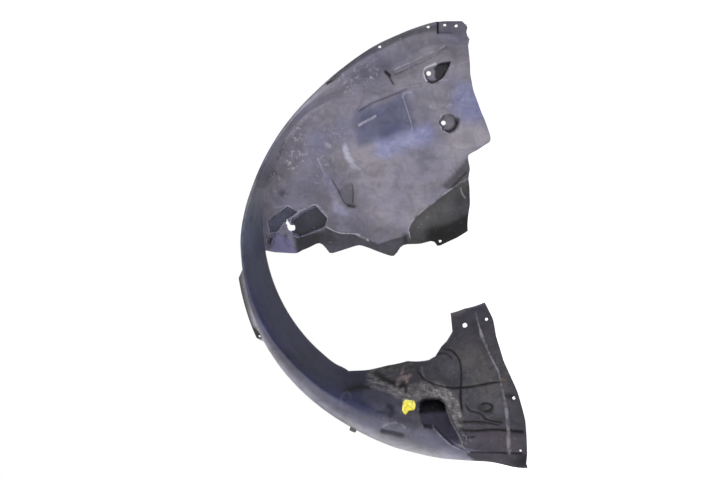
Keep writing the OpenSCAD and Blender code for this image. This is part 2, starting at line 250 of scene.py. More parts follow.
@dataclass(frozen=True)
class ArchForm:
    """The smooth form of the sheet: a roof and lip of changing section, and a flat panel."""

    radius: float = 350.0
    depth: float = 190.0
    panel_slope: float = math.tan(math.radians(14.0))
    panel_foot: float = -45.0
    panel_end: float = -80.0
    # By the columns of Section: the angle in degrees, the others in mm
    sections: tuple[tuple[float, ...], ...] = (
        (76, 18, -9, 25, 88, 2), (84, 14, -9, 25, 88, 2), (90, 11, -9, 27, 88, 2),
        (96, 3, -11, 35, 88, 2), (102, -5, -13, 48, 88, 2), (108, -11, -17, 58, 88, 2),
        (120, -23, -28, 60, 84, 2), (131, -29, -35, 52, 74, 3), (140, -30, -34, 38, 60, 4),
        (152, -28, -31, 30, 39, 5), (160, -25, -28, 28, 25, 6), (168, -20, -23, 26, 15, 7),
        (176, -13, -16, 25, 7, 8), (184, -6, -8, 25, 2, 10), (190, -3, -5, 25, 0, 12),
        (202, 6, 0, 25, 0, 16), (214, 17, 1, 25, 0, 24), (228, 26, 0, 25, 0, 32),
        (237, 31, 0, 27, 0, 34), (245, 36, 0, 48, 0, 36), (252, 42, 0, 70, 0, 38),
        (259, 49, 1, 95, 0, 40), (265, 54, 3, 120, 0, 40), (270, 59, 14, 142, 0, 36),
        (276, 65, 38, 166, 0, 30), (282, 73, 54, 180, 0, 20), (290, 98, 75, 183, 0, 10),
        (296, 111, 92, 185, 0, 6),
    )
    # Angle and how far the trimmed inboard edge lies inside the arch radius
    trim: Line = (
        (237, 27), (239.5, 30), (245.5, 48), (251.5, 68), (258.5, 88), (267, 100), (269.2, 106),
        (271.3, 122), (273, 130), (275.2, 146), (275.6, 178), (281.5, 181), (290, 176),
    )
    # Radius and the angle by which the rear end fans out there
    fan: Line = (
        (175, 12), (205, 11), (234, 8), (276, 6), (330, 5.5), (375, 4), (440, 0),
    )
    fan_from: float = 268.0
    rear_end: float = 290.0
    front_from: float = 80.25
    front_to: float = 189.0
    front_edge: Line = (
        (57, 305), (59, 288), (60, 271), (63, 257), (66, 243), (73, 225), (80, 207), (86, 194),
        (91, 182), (98, 163), (99, 155), (97, 150), (88, 144), (74, 135), (60, 127), (59, 118),
        (62, 102), (60, 85), (62, 69), (63, 54), (64, 36), (62, 18), (61, 1), (62, -14),
    )
    foot_edge: Line = (
        (-304, -54), (-290, -55), (-261, -56), (-255, -52), (-238, -45), (-221, -37), (-211, -41),
        (-200, -55), (-195, -56), (-172, -49), (-150, -42), (-141, -41), (-125, -46), (-110, -52),
        (-87, -60), (-79, -61), (-74, -58), (-70, -50), (-64, -43), (-54, -39), (-29, -38),
        (-8, -33), (-1, -35), (3, -41), (7, -43), (13, -40), (28, -33), (43, -26), (62, -14),
    )
    # The front corner is folded along a line. Past it the panel falls by a share of the distance,
    # with a round of some width at the fold. The fall sets in from one y over some length.
    flap_line: Line = ((60, 82), (-52, -19))
    flap_fall: float = 0.45
    flap_round: float = 24.0
    flap_zone: tuple[float, float] = (-110.0, 40.0)
    # Width of the plain flange outside the lip
    hem: float = 1.5
    # The tab on that flange: first angle, last angle and reach, and the angle over which it swells
    fender_tab: tuple[float, float, float] = (193.0, 214.0, 8.5)
    tab_ramp: float = 2.0
    # Height that the roof's width in the flat pattern counts, and the share of the lip's drop
    roof_pattern: float = 80.0
    lip_fall: float = 0.6
    # Widths of the roof between which its section goes from steep to splayed
    splay: tuple[float, float] = (80.0, 190.0)
    # Width of the round between roof and panel, and the angles over which it fades out
    fillet: float = 16.0
    fillet_fade: tuple[float, float] = (146.0, 166.0)
    # Least angle between a marked row of the grid and a plain one
    mark_gap: float = 0.3
    # The pattern is panel from edge_slack inside the trimmed edge. More than front_slack past
    # front_to it is panel only from edge_reach inside that edge, and above panel_end.
    edge_slack: float = 0.001
    edge_reach: float = 8.0
    front_slack: float = 0.5

    def angle_at(self, px: np.ndarray, py: np.ndarray) -> np.ndarray:
        """Angle round the axle in the pattern, held between the two ends of the sheet."""
        return np.clip(np.degrees(np.arctan2(py, px)) % 360, self.sections[0][0], self.rear_end)

    def column(self, angle: np.ndarray, part: Section) -> np.ndarray:
        """One column of the sections at any angle, by cubics with slopes across two neighbours."""
        table = np.asarray(self.sections, float)
        a, v = table[:, Section.ANGLE], table[:, part]
        i = np.clip(np.searchsorted(a, angle, side="right") - 1, 0, len(a) - 2)
        order = np.arange(len(a))
        lo, hi = np.maximum(order - 1, 0), np.minimum(order + 1, len(a) - 1)
        slope = (v[hi] - v[lo]) / (a[hi] - a[lo])
        h = a[i + 1] - a[i]
        return cubic((angle - a[i]) / h, v[i], h * slope[i], v[i + 1], h * slope[i + 1])

    def edge_r(self, angle: np.ndarray) -> np.ndarray:
        """Radius of the outer edge."""
        return self.radius + self.column(angle, Section.EDGE_OUT)

    def crest_r(self, angle: np.ndarray) -> np.ndarray:
        """Radius of the crest."""
        return self.radius + self.column(angle, Section.CREST_OUT)

    def rim_r(self, angle: np.ndarray) -> np.ndarray:
        """Radius of the foot of the roof."""
        return self.radius - self.column(angle, Section.RIM_IN)

    def crest_z(self, angle: np.ndarray) -> np.ndarray:
        """Height of the crest."""
        return self.depth - self.column(angle, Section.CREST_DROP)

    def trim_r(self, angle: np.ndarray) -> np.ndarray:
        """Radius of the trimmed inboard edge."""
        at, inside = np.asarray(self.trim, float).T
        trimmed = self.radius - np.interp(angle, at, inside)
        return np.where(angle < at[0], self.rim_r(angle), trimmed)

    def roof_width(self, angle: np.ndarray) -> np.ndarray:
        """Width of the roof in the flat pattern."""
        return np.hypot(self.roof_pattern, self.crest_r(angle) - self.trim_r(angle))

    def lip_width(self, angle: np.ndarray) -> np.ndarray:
        """Width of the lip in the flat pattern."""
        reach = self.column(angle, Section.EDGE_OUT) - self.column(angle, Section.CREST_OUT)
        return reach + self.lip_fall * self.column(angle, Section.EDGE_DROP)

    def tab_share(self, angle: np.ndarray) -> np.ndarray:
        """How far the fender tab is drawn out there, from 0 to 1."""
        start, end, _ = self.fender_tab
        return ramp(angle, start, self.tab_ramp) * soft((end - angle) / self.tab_ramp)

    def hem_width(self, angle: np.ndarray) -> np.ndarray:
        """Width of the flange outside the lip, wider along the fender tab."""
        return self.hem + self.fender_tab[2] * self.tab_share(angle)

    def plane_z(self, y: np.ndarray) -> np.ndarray:
        """Height of the panel without its flap, rising evenly from the foot."""
        return self.panel_slope * np.maximum(y - self.panel_foot, 0)

    def panel_z(self, x: np.ndarray, y: np.ndarray) -> np.ndarray:
        """Height of the panel: the sloping plane, less a fall that grows past the flap line."""
        a, b = np.asarray(self.flap_line, float)
        d = b - a
        past = (d[0] * (y - a[1]) - d[1] * (x - a[0])) / np.hypot(*d)
        rounded = past**2 / (2 * self.flap_round)
        fold = np.where(past < self.flap_round, rounded, past - self.flap_round / 2)
        fall = self.flap_fall * np.where(past <= 0, 0, fold)
        return self.plane_z(y) - fall * ramp(y, *self.flap_zone)

    def to_space(self, px: np.ndarray, py: np.ndarray) -> np.ndarray:
        """Lays the flat pattern on the form.

        Inside the trimmed edge the pattern is the panel seen along the axle. Outside it, the
        distance from that edge is first the way up the roof, then the way over the lip, then the
        hem. The roof's height falls from the crest with a power of the radius, 2 where it is steep
        and 1 where it splays. Where roof and panel come within the round's size of each other, both
        are raised by a quarter of the size times the square of their nearness, which rounds the
        corner between them.

        Args:
            px: First coordinates in the pattern.
            py: Second coordinates in the pattern.

        Returns:
            Array (n, 3) of points in the drawing frame.
        """
        angle = self.angle_at(px, py)
        trim, rim = self.trim_r(angle), self.rim_r(angle)
        crest, edge = self.crest_r(angle), self.edge_r(angle)
        out = np.hypot(px, py) - trim
        width, lip = self.roof_width(angle), self.lip_width(angle)
        crest_z = self.crest_z(angle)
        edge_z = crest_z - self.column(angle, Section.EDGE_DROP)
        rad = np.radians(angle)

        r_roof = crest + (trim - crest) * (1 - out / width)
        steep, splayed = self.splay
        power = 2 - ramp(crest - rim, steep, splayed - steep)
        fall = np.clip((crest - r_roof) / (crest - rim), 0, None) ** power
        foot = self.panel_z(rim * np.cos(rad), rim * np.sin(rad))
        foot = np.where(angle > self.front_to, 0, foot)
        z_roof = crest_z + (foot - crest_z) * fall

        over = np.radians(90 * (1 - np.clip((out - width) / lip, 0, 1)))
        past = np.maximum(out - width - lip, 0)
        r_lip = crest + (edge - crest) * np.cos(over) + past
        z_lip = edge_z + (crest_z - edge_z) * np.sin(over) - past / (self.hem + self.fender_tab[2])

        on_lip = out > width
        r = np.where(on_lip, r_lip, r_roof)
        z = np.where(on_lip, z_lip, z_roof)
        radii, angles = np.asarray(self.fan, float).T
        share = np.maximum(angle - self.fan_from, 0) / (self.rear_end - self.fan_from)
        turned = np.radians(angle + np.interp(r, radii, angles) * share)
        in_front = angle < self.front_to + self.front_slack
        in_rear = (out < -self.edge_reach) & (py > self.panel_end)
        flat = (out < -self.edge_slack) & (in_front | in_rear)
        x, y = np.where(flat, px, r * np.cos(turned)), np.where(flat, py, r * np.sin(turned))
        plane = self.panel_z(x, y)

        first, last = self.fillet_fade
        room = crest_z - self.panel_z(crest * np.cos(rad), crest * np.sin(rad))
        size = self.fillet * (1 - ramp(angle, first, last - first))
        size = np.clip(size, 0, np.maximum(room, 0)) + TINY
        near = np.clip(1 - np.abs(z_roof - plane) / size, 0, 1)
        rounding = np.where(on_lip, 0, size / 4 * near**2)
        return np.stack([x, y, np.where(flat, plane, z) + rounding], axis=-1)

    def pattern(self, row_step: float, roof_cells: int, lip_cells: int,
                panel_cells: int) -> tuple[np.ndarray, np.ndarray]:
        """The flat pattern as a grid of points and its four-sided cells.

        Rows run round the axle. Each row goes from the hem over the lip and down the roof. The
        front rows go on across the panel, which is blended between the roof's foot, its front edge
        and its foot edge, so that every border of the sheet is a grid line.

        Args:
            row_step: Angle between two rows.
            roof_cells: Cells up the roof.
            lip_cells: Cells over the lip.
            panel_cells: Cells across the panel.

        Returns:
            Points (n, 2) and cells (m, 4).
        """
        n_front = int((self.front_to - self.front_from) / row_step)
        front = np.linspace(self.front_from, self.front_to, n_front)
        start, end, _ = self.fender_tab
        marks = [start, start + self.tab_ramp, end - self.tab_ramp, end]
        marks += [a for a, _ in self.trim[:-1]]
        rear = np.arange(self.front_to + row_step, self.rear_end - row_step / 2, row_step)
        rear = rear[np.abs(rear[:, None] - marks).min(axis=1) > self.mark_gap]
        angle = np.r_[front, np.sort(np.r_[rear, marks, self.rear_end])]
        n_roof = 1 + lip_cells + roof_cells
        trim, width, lip = self.trim_r(angle), self.roof_width(angle), self.lip_width(angle)
        over_lip = 1 - np.arange(lip_cells + 1) / lip_cells
        up_roof = 1 - np.arange(1, roof_cells + 1) / roof_cells
        rho = np.concatenate([
            (trim + width + lip + self.hem_width(angle))[:, None],
            (trim + width)[:, None] + lip[:, None] * over_lip,
            trim[:, None] + width[:, None] * up_roof,
        ], axis=1)
        rad = np.radians(angle)[:, None]
        roof = np.stack([rho * np.cos(rad), rho * np.sin(rad)], axis=-1)

        rim = roof[:n_front, -1]
        edge, foot = np.asarray(self.front_edge, float), np.asarray(self.foot_edge, float)
        t = np.linspace(0, 1, n_front)[:, None, None]
        s = np.linspace(0, 1, panel_cells + 1)[1:]
        front_line = spline(edge, np.linspace(0, len(edge) - 1, n_front))
        share = (foot[:, 0] - rim[-1, 0]) / (edge[-1, 0] - rim[-1, 0])
        foot_line = spline(foot, np.interp(s, share, np.arange(len(foot))))
        s = s[None, :, None]
        panel = ((1 - s) * rim[:, None] + s * front_line[:, None]
                 + t * (foot_line[None] - (1 - s) * rim[-1] - s * edge[-1]))

        points = np.concatenate([roof.reshape(-1, 2), panel.reshape(-1, 2)])
        at_roof = np.arange(len(angle) * (n_roof + 1)).reshape(len(angle), n_roof + 1)
        at_panel = at_roof.size + np.arange(n_front * panel_cells).reshape(n_front, panel_cells)
        at_panel = np.concatenate([at_roof[:n_front, -1:], at_panel], axis=1)
        cells = [np.stack([g[:-1, :-1], g[1:, :-1], g[1:, 1:], g[:-1, 1:]], axis=-1).reshape(-1, 4)
                 for g in (at_roof, at_panel)]
        return points, np.concatenate(cells)


@dataclass(frozen=True)
class Relief:
    """A low form pressed in along a line: a bead where its height is over 0, else a groove."""

    line: Path
    height: float
    width: float
    flat: float = 0.0
    fade: float = 0.12

    def lift(self, x: np.ndarray, y: np.ndarray) -> np.ndarray:
        """Height times a bell over the distance from the line, fading out towards both ends."""
        gap, place = self.line.along(x, y)
        bell = 1 - soft((gap - self.flat) / self.width)
        if not self.fade:
            return self.height * bell
        return self.height * bell * soft(place / self.fade) * soft((1 - place) / self.fade)


@dataclass(frozen=True)
class Dish:
    """A shallow area pressed in or out, with a soft border inside its outline."""

    figure: Figure
    height: float
    border: float

    def lift(self, x: np.ndarray, y: np.ndarray) -> np.ndarray:
        """Height times a smooth step over the depth inside the outline."""
        return self.height * soft(-self.figure.distance(x, y) / self.border)


@dataclass(frozen=True)
class Pit:
    """A steep-walled recess. Its level floor lies a depth below the panel's plane at one y."""

    mouth: Figure
    level_at: float
    depth: float
    wall: float


@dataclass(frozen=True)
class Patch:
    """A stretch of the skin with its own colour, fading out over its soft border."""

    figure: Figure
    colour: Colour
    share: float
    border: float

    def cover(self, x: np.ndarray, y: np.ndarray) -> np.ndarray:
        """How much of the patch's colour shows at each place."""
        return cover(self.figure, self.share, self.border, x, y)


def path(*points: tuple[float, float], half_width: float = 0.0, straight: bool = False) -> Path:
    """A line through the points given one after another."""
    return Path(tuple(points), half_width, straight)


# Lines and outlines that several details share
FLAP_EDGE: Line = ((61, 85), (27, 64), (-9, 36), (-36, 14), (-49, -5), (-50, -16), (-47, -28))
FLAP_STEP: Line = ((46, 66), (48, 57), (55, 48))
POCKET_SILL: Line = ((-205, -6), (-182, -17), (-148, -20), (-127, -31))
FRONT_CREASE: Line = ((16, 280), (56, 294))
DRAIN_RIDGE: Line = ((-35, -315), (-34, -328), (-29, -340), (-28, -351))
REAR_DISH: Line = ((-108, -325), (-94, -313), (-82, -312), (-84, -327))


@dataclass
class Liner:
    """The moulded sheet with everything that is pressed into it or cut out of it."""

    form: ArchForm = field(default_factory=ArchForm)
    sheet: float = 2.6
    # Grid: the angle between rows, the cells up the roof, over the lip and across the panel, the
    # least and greatest length of an edge, its growth away from a detail, how many times too long
    # an edge may be before it is cut, and how often all of them are looked at
    row_step: float = 1.0
    cells: tuple[int, int, int] = (26, 9, 60)
    fine: float = 1.0
    coarse: float = 27.0
    growth: float = 0.45
    stretch: float = 1.45
    passes: int = 4
    # How far off a soft detail counts, so that the grid is less fine there than at a cut edge
    relief_ease: float = 1.2
    dish_ease: float = 1.0
    drain_ease: float = 0.3
    wear_and_highlight_ease: float = 0.6
    # Snapping onto crisp borders: reach, the step for slopes, the least slope and the least rise
    # of the normal
    snap_reach: float = 0.62
    snap_step: float = 0.05
    least_slope: float = 0.3
    least_normal: float = 0.2
    # How far inside a hole a point, and the middle of a face, must lie to be cut away
    hole_slack: tuple[float, float] = (0.05, 0.2)
    sharp_angle: float = 40.0
    upper_seat: tuple[float, float] = (-15.0, 274.0)
    lower_seat: tuple[float, float] = (13.0, 186.0)
    seat_depths: tuple[float, float] = (13.0, 16.0)
    seat_radius: float = 9.0
    seat_wall: float = 3.0
    seat_hole: float = 4.25
    upper_mouth: Outline = Outline(((-24, 272), (-20, 281), (-11, 285), (-2, 288), (8, 291),
                                    (24, 293), (21, 283), (16, 276), (11, 265), (1, 258),
                                    (-10, 254), (-19, 260)))
    lower_mouth: Outline = Outline(((7, 192), (10, 199), (20, 202), (31, 199), (40, 185), (33, 173),
                                    (21, 166), (10, 172)))
    pocket_a: Outline = Outline(((-316, 6), (-305, 14), (-277, 33), (-258, 22), (-285, 3),
                                 (-296, -15), (-312, -18)))
    pocket_b: Outline = Outline(((-272, 7), (-251, 23), (-225, 35), (-202, 10), (-207, -5),
                                 (-217, -11), (-257, -27), (-270, -19)))
    corner_pocket: Outline = Outline(((-317, -24), (-304, -27), (-311, -41), (-318, -38)))
    pocket_level: float = 6.0
    pocket_depth: float = 30.0
    pocket_wall: float = 1.6
    holes: tuple[Figure, ...] = (
        Disc((-104, 318), 2.75), Disc((-17, 353), 2.75), Disc((13, 357), 2.75),
        Disc((33, 355), 2.75), Disc((54, -189), 4.5), Disc((94, -177), 3.0), Disc((135, -308), 3.0),
        Disc((10, -34), 3.0), Disc((141, -390), 2.0), Disc((-313, -196), 2.0),
        Disc(upper_seat, seat_hole), Disc(lower_seat, seat_hole), Disc((-272, -8), 6.0),
        Path(((-272, -8), (-281, 5)), 3.0, True),
        Outline(((41, 385), (41, 367), (49, 358), (53, 352), (51, 344), (53, 336), (58, 329),
                 (56, 321), (90, 300), (90, 385))),
    )
    # The front tab is split from the flange at one place and lies a little lower. The drop sets in
    # over a width across and along the split, and fades out over some length before one x.
    tab_split: tuple[float, float] = (-1.0, 341.0)
    tab_drop: float = 4.0
    tab_step: tuple[float, float] = (0.8, 3.0)
    tab_fade: tuple[float, float] = (60.0, 40.0)
    # How far below the split its line still counts for the grid
    tab_reach: float = 2.0
    ribs: tuple[Path, ...] = (
        path((-79, 276), (13, 317), half_width=2.8),
        path((-142, 210), (-118, 224), (-76, 240), (-58, 248), (-30, 252), half_width=2.8,
             straight=True),
    )
    rib_height: float = 2.4
    rib_wall: float = 3.0
    drain: Outline = Outline(((-31, -319), (-29, -312), (-21, -308), (4, -311), (12, -317),
                              (20, -339), (30, -359), (42, -380), (56, -397), (25, -383), (9, -368),
                              (-8, -353), (-28, -350), (-35, -325)))
    drain_depth: float = 20.0
    drain_wall: float = 2.6
    # The line along which the drain grows shallow, and the share of its depth lost at the end
    drain_run: Line = ((-12, -325), (40, -392))
    drain_rise: float = 0.8
    reliefs: tuple[Relief, ...] = (
        Relief(path((-142, 181), (-120, 193), (-93, 206)), 0.9, 2.0),
        Relief(path((-45, 165), (-46, 178), (-51, 199), (-58, 220), (-62, 232), (-56, 239),
                    (-47, 240)),
               1.0, 2.0),
        Relief(path((-89, 272), (-84, 262), (-77, 250)), -1.4, 2.6, fade=0.2),
        Relief(path((-93, 275), (-86, 270)), -2.0, 3.6, fade=0.0),
        Relief(path(*FRONT_CREASE), 0.8, 2.0),
        Relief(path(*FLAP_EDGE), 1.2, 2.0, fade=0.03),
        Relief(path((59, 98), (40, 78), (26, 64)), -1.0, 2.6),
        Relief(path(*FLAP_STEP), 0.8, 1.8),
        Relief(path((-219, 120), (-213, 106), (-207, 91), (-199, 75), (-190, 58)), 1.3, 4.0),
        Relief(path((-195, 84), (-181, 61), (-170, 39), (-150, 29)), -0.9, 1.5, fade=0.1),
        Relief(path((-156, 75), (-154, 57), (-155, 36)), -0.8, 1.4),
        Relief(path(*POCKET_SILL), 1.3, 2.2, fade=0.05),
        Relief(path((-127, -31), (-109, -40), (-83, -31), (-55, -24)), 0.6, 3.0),
        Relief(path((-309, 86), (-306, 91)), -0.8, 1.8, fade=0.0),
        Relief(path((-304, 88), (-302, 96)), -0.8, 1.4, fade=0.0),
        Relief(path((-299, 98), (-296, 91)), -0.8, 1.4, fade=0.0),
        Relief(path((-282, 147), (-294, 115), (-308, 86), (-316, 70), (-321, 43)), 0.6, 2.4),
        Relief(path((-185, 234), (-156, 262), (-116, 289), (-81, 311), (-40, 330), (-3, 338),
                    (23, 336), (52, 325)),
               0.9, 3.0),
        Relief(path((-317, -47), (-303, -16), (-288, -23), (-281, -20), (-274, -35), (-261, -53)),
               1.6, 2.4, fade=0.05),
        Relief(path((75, -166), (79, -187), (84, -204), (89, -220), (100, -245), (111, -267),
                    (115, -291), (120, -314), (122, -345), (121, -373), (121, -396)),
               2.0, 3.2, flat=0.8, fade=0.03),
        Relief(path((-39, -257), (-34, -268), (-22, -279), (-1, -288), (25, -294), (58, -292),
                    (97, -285), (126, -282)),
               -2.2, 3.4),
        Relief(path((8, -231), (28, -234), (42, -250), (44, -276), (41, -308), (43, -338)),
               -2.2, 2.8),
        Relief(path((-2, -241), (17, -239), (31, -249)), -1.2, 2.0),
        Relief(path((47, -315), (56, -329), (73, -333), (87, -343), (115, -347)), -2.0, 2.6),
        Relief(path((74, -321), (87, -317), (97, -322), (91, -329), (79, -330)), -2.0, 3.0),
        Relief(path((37, -348), (72, -346), (110, -352)), -1.4, 2.2),
        Relief(path((40, -358), (64, -360), (100, -358), (149, -361)), -2.2, 3.2, fade=0.05),
        Relief(path((43, -370), (64, -369)), -1.2, 2.2),
        Relief(path((52, -394), (86, -393), (120, -394), (147, -395)), -2.2, 3.2, fade=0.04),
        Relief(path((-162, -293), (-138, -291), (-118, -293)), -2.0, 3.4),
        Relief(path((-114, -289), (-93, -297), (-65, -301)), 1.0, 2.4),
        Relief(path((-143, -310), (-104, -326), (-73, -337), (-38, -347)), 0.7, 4.0),
        Relief(path((-95, -349), (-83, -342), (-70, -343), (-59, -349), (-57, -356)), 1.6, 2.6),
        Relief(path(*DRAIN_RIDGE), 1.0, 2.0),
    )
    dishes: tuple[Dish, ...] = (
        Dish(Disc((-161, -301), 8), 1.8, 2.2),
        Dish(Disc((-161, -301), 4.5), -2.4, 2.0),
        Dish(Disc((-145, -304), 4), 1.4, 2.0),
        Dish(Path(((-97, -357), (-80, -360), (-64, -364)), 6.5, True), -2.6, 6.0),
        Dish(Outline(REAR_DISH), -3.0, 4.0),
        Dish(Outline(((-193, 82), (-156, 75), (-154, 30), (-170, 36))), -2.0, 12.0),
        Dish(Outline(((-142, 197), (-99, 207), (-59, 231), (-49, 174), (-90, 161), (-135, 155))),
             -2.0, 10.0),
        Dish(Outline(((24, 213), (28, 226), (43, 232), (47, 222), (40, 211))), -1.6, 3.0),
        Dish(Disc((-200, 145), 3), 1.0, 2.0),
    )
    # Broad tones: the panel's light tone is painted sheen, less of it at its dim end, the lip's
    # edge tone is a painted highlight and the fender tab's near black is painted shade
    skin: dict[str, Colour] = field(default_factory=lambda: {
        "lip": (0.085, 0.083, 0.115), "lip_edge_highlight": (0.225, 0.220, 0.245),
        "panel": (0.180, 0.168, 0.212), "panel_less_sheen": (0.155, 0.144, 0.185),
        "rear": (0.062, 0.059, 0.071), "back": (0.046, 0.046, 0.054),
        "tab": (0.012, 0.012, 0.014)})
    # Angle and the colour of the roof there, lighter from about 112 to 190 degrees as painted light
    # on a stretch that lies in shade
    roof_tones: tuple[tuple[float, Colour], ...] = (
        (112, (0.150, 0.142, 0.180)), (124, (0.190, 0.180, 0.228)), (134, (0.270, 0.258, 0.318)),
        (146, (0.310, 0.298, 0.362)), (158, (0.300, 0.295, 0.362)), (168, (0.280, 0.280, 0.345)),
        (180, (0.160, 0.176, 0.240)), (190, (0.070, 0.076, 0.126)), (202, (0.045, 0.047, 0.098)),
        (236, (0.040, 0.042, 0.084)),
    )
    # A place and a length over which each tone sets in: the rear's round the axle, the lip's past
    # the crest and round the axle, and the panel's painted sheen past its dimmer end, with that
    # border's lean
    rear_zone: tuple[float, float] = (246.0, 16.0)
    lip_zone: tuple[float, float] = (-3.0, 8.0)
    lip_angles: tuple[float, float] = (164.0, 24.0)
    panel_sheen_zone: tuple[float, float] = (-190.0, 130.0)
    panel_sheen_lean: float = 0.35
    # Width over which roof and panel blend, and the power by which the lip's painted highlight
    # grows to its edge
    rim_blend: float = 2.0
    lip_power: float = 1.4
    # Angle and how much lighter than its plain tone the lip is there, as painted highlight
    lip_sheen: Line = (
        (190, 0.75), (202, 0.9), (211, 1.5), (222, 1.6), (238, 0.85), (250, 1.0), (262, 1.6),
        (280, 1.45),
    )
    # The corner of the panel that is folded back
    flap: Outline = Outline((*FLAP_EDGE[:-1], (-47, -40), (75, -60), (75, 88)))
    # Convex edges lighter from wear and painted highlight, with the share of that, and the soft
    # border of all
    wear_and_highlight: tuple[tuple[Path, float], ...] = (
        (path(*FLAP_EDGE, half_width=0.4), 0.75),
        (path(*FLAP_STEP, half_width=0.5), 0.45),
        (path((-45, 172), (-46, 182), (-51, 199), (-58, 220), (-62, 232), half_width=0.6), 0.45),
        (path((-62, 230), (-60, 237), (-47, 240), half_width=1.6), 0.32),
        (path((-142, 181), (-128, 189), (-112, 197), half_width=1.6), 0.6),
        (path((-28, 252), (-8, 257), (20, 262), half_width=0.4), 0.3),
        (path(*POCKET_SILL, half_width=0.5), 0.8),
        (Path(POCKET_SILL[2:], 1.4), 0.7),
        (path((75, -166), (79, -187), (84, -204), (89, -220), (100, -245), (111, -267),
              half_width=1.0),
         0.5),
        (path((82, -198), (86, -212), (91, -224), half_width=2.2), 0.6),
        (path((111, -268), (115, -288), half_width=1.0), 0.3),
        (path((116, -296), (119, -314), half_width=1.4), 0.3),
        (path((119, -316), (122, -345), (121, -373), (121, -394), half_width=2.3), 0.45),
        (path((-298, 30), (-277, 34), (-258, 23), (-225, 36), (-202, 11), half_width=0.3), 0.5),
        (path((-10, -351), (2, -364), (21, -381), (49, -393), half_width=0.5), 0.35),
        (path((14, -323), (22, -345), (36, -369), (42, -385), (52, -393), half_width=0.5), 0.35),
        (path(*DRAIN_RIDGE, half_width=0.3), 0.3),
        (path((-78, 279), (13, 320), half_width=0.5), 0.6),
        (path((-78, 272), (15, 313), half_width=0.4), 0.35),
        (path((-141, 213), (-118, 227), (-76, 243), (-60, 250), half_width=0.4), 0.5),
        (path((-112, -291), (-93, -297), (-65, -301), half_width=0.5), 0.3),
        (path((-96, -349), (-83, -342), (-70, -343), (-58, -350), half_width=1.6), 0.22),
        (path(*FRONT_CREASE, half_width=0.5), 0.35),
        (path((-294, 117), (-308, 88), (-316, 72), (-321, 45), half_width=0.3), 0.3),
    )
    wear_and_highlight_border: float = 1.1
    # Ring of painted light on a pocket's wall, against its shade: its tone, how far inside the
    # mouth it lies, its half width with the border, and the border
    wall_painted_light: Colour = (0.34, 0.34, 0.42)
    wall_ring: tuple[float, float, float] = (0.9, 1.4, 0.6)
    # Figures in which dust lies, from which it is kept, and in which the skin is chipped, each with
    # a share and a soft border
    dust_on: tuple[tuple[Figure, float, float], ...] = (
        (path((-116, -281), (-99, -285), (-73, -293), (-48, -299), (-19, -293), (10, -300),
              (27, -321), (33, -345), half_width=5.0),
         1.0, 11.0),
        (Path(((-110, -272), (-50, -262)), 3.0), 0.5, 12.0),
        (Disc((60, -290), 50), 0.12, 50.0),
    )
    dust_off: tuple[tuple[Figure, float, float], ...] = (
        (path((-112, -277), (-100, -281), (-77, -287), half_width=1.5), 1.0, 4.0),
        (path((-66, -290), (-58, -287), (-56, -297), half_width=1.5), 1.0, 4.0),
        (path((-64, -268), (-60, -277), (-50, -280), half_width=1.0), 0.9, 3.0),
        (Outline(((-34, -314), (-29, -306), (4, -308), (16, -324), (42, -382), (56, -399),
                  (-30, -352))),
         1.0, 2.0),
    )
    chips_on: tuple[tuple[Figure, float, float], ...] = (
        (Path(((-266, 180), (-254, 155), (-262, 110)), 8.0), 1.0, 18.0),
        (Path(((-170, 250), (-143, 262), (-120, 275)), 6.0), 0.8, 18.0),
        (Path(((-300, 100), (-240, 205), (-160, 272)), 8.0), 0.5, 26.0),
        (Path(((-210, 100), (-190, 160)), 8.0), 0.35, 40.0),
        (Path(((-10, 225), (30, 225)), 6.0), 0.45, 24.0),
        (Path(((-290, 100), (-300, 60)), 5.0), 0.5, 14.0),
        (Disc((45, -372), 4), 0.7, 12.0),
    )
    # Boss under the clip: angle, radius, drop below the crest, lean, half width and half length
    boss_angle: float = 260.7
    boss_r: float = 323.0
    boss_drop: float = 14.4
    boss_lean: float = 38.0
    boss_half: tuple[float, float] = (14.0, 17.0)
    # Width over which the boss's sides rise
    boss_round: float = 1.2
    # Short tab: angle, reach, width and thickness, the radius and points of its corners, and its
    # drop below the lip's edge
    tab_angle: float = 247.5
    tab_size: tuple[float, float, float] = (7.0, 12.0, 2.6)
    tab_corner: float = 2.5
    tab_points: int = 13
    tab_below: float = 1.0

    @property
    def pits(self) -> tuple[Pit, ...]:
        """The two screw seats, the double pocket and the corner pocket."""
        seats = ((self.upper_seat, self.upper_mouth), (self.lower_seat, self.lower_mouth))
        pockets = (self.pocket_a, self.pocket_b, self.corner_pocket)
        return (
            *(Pit(Union((Disc(at, self.seat_radius), mouth)), at[1], depth, self.seat_wall)
              for (at, mouth), depth in zip(seats, self.seat_depths)),
            *(Pit(mouth, self.pocket_level, self.pocket_depth, self.pocket_wall)
              for mouth in pockets),
        )

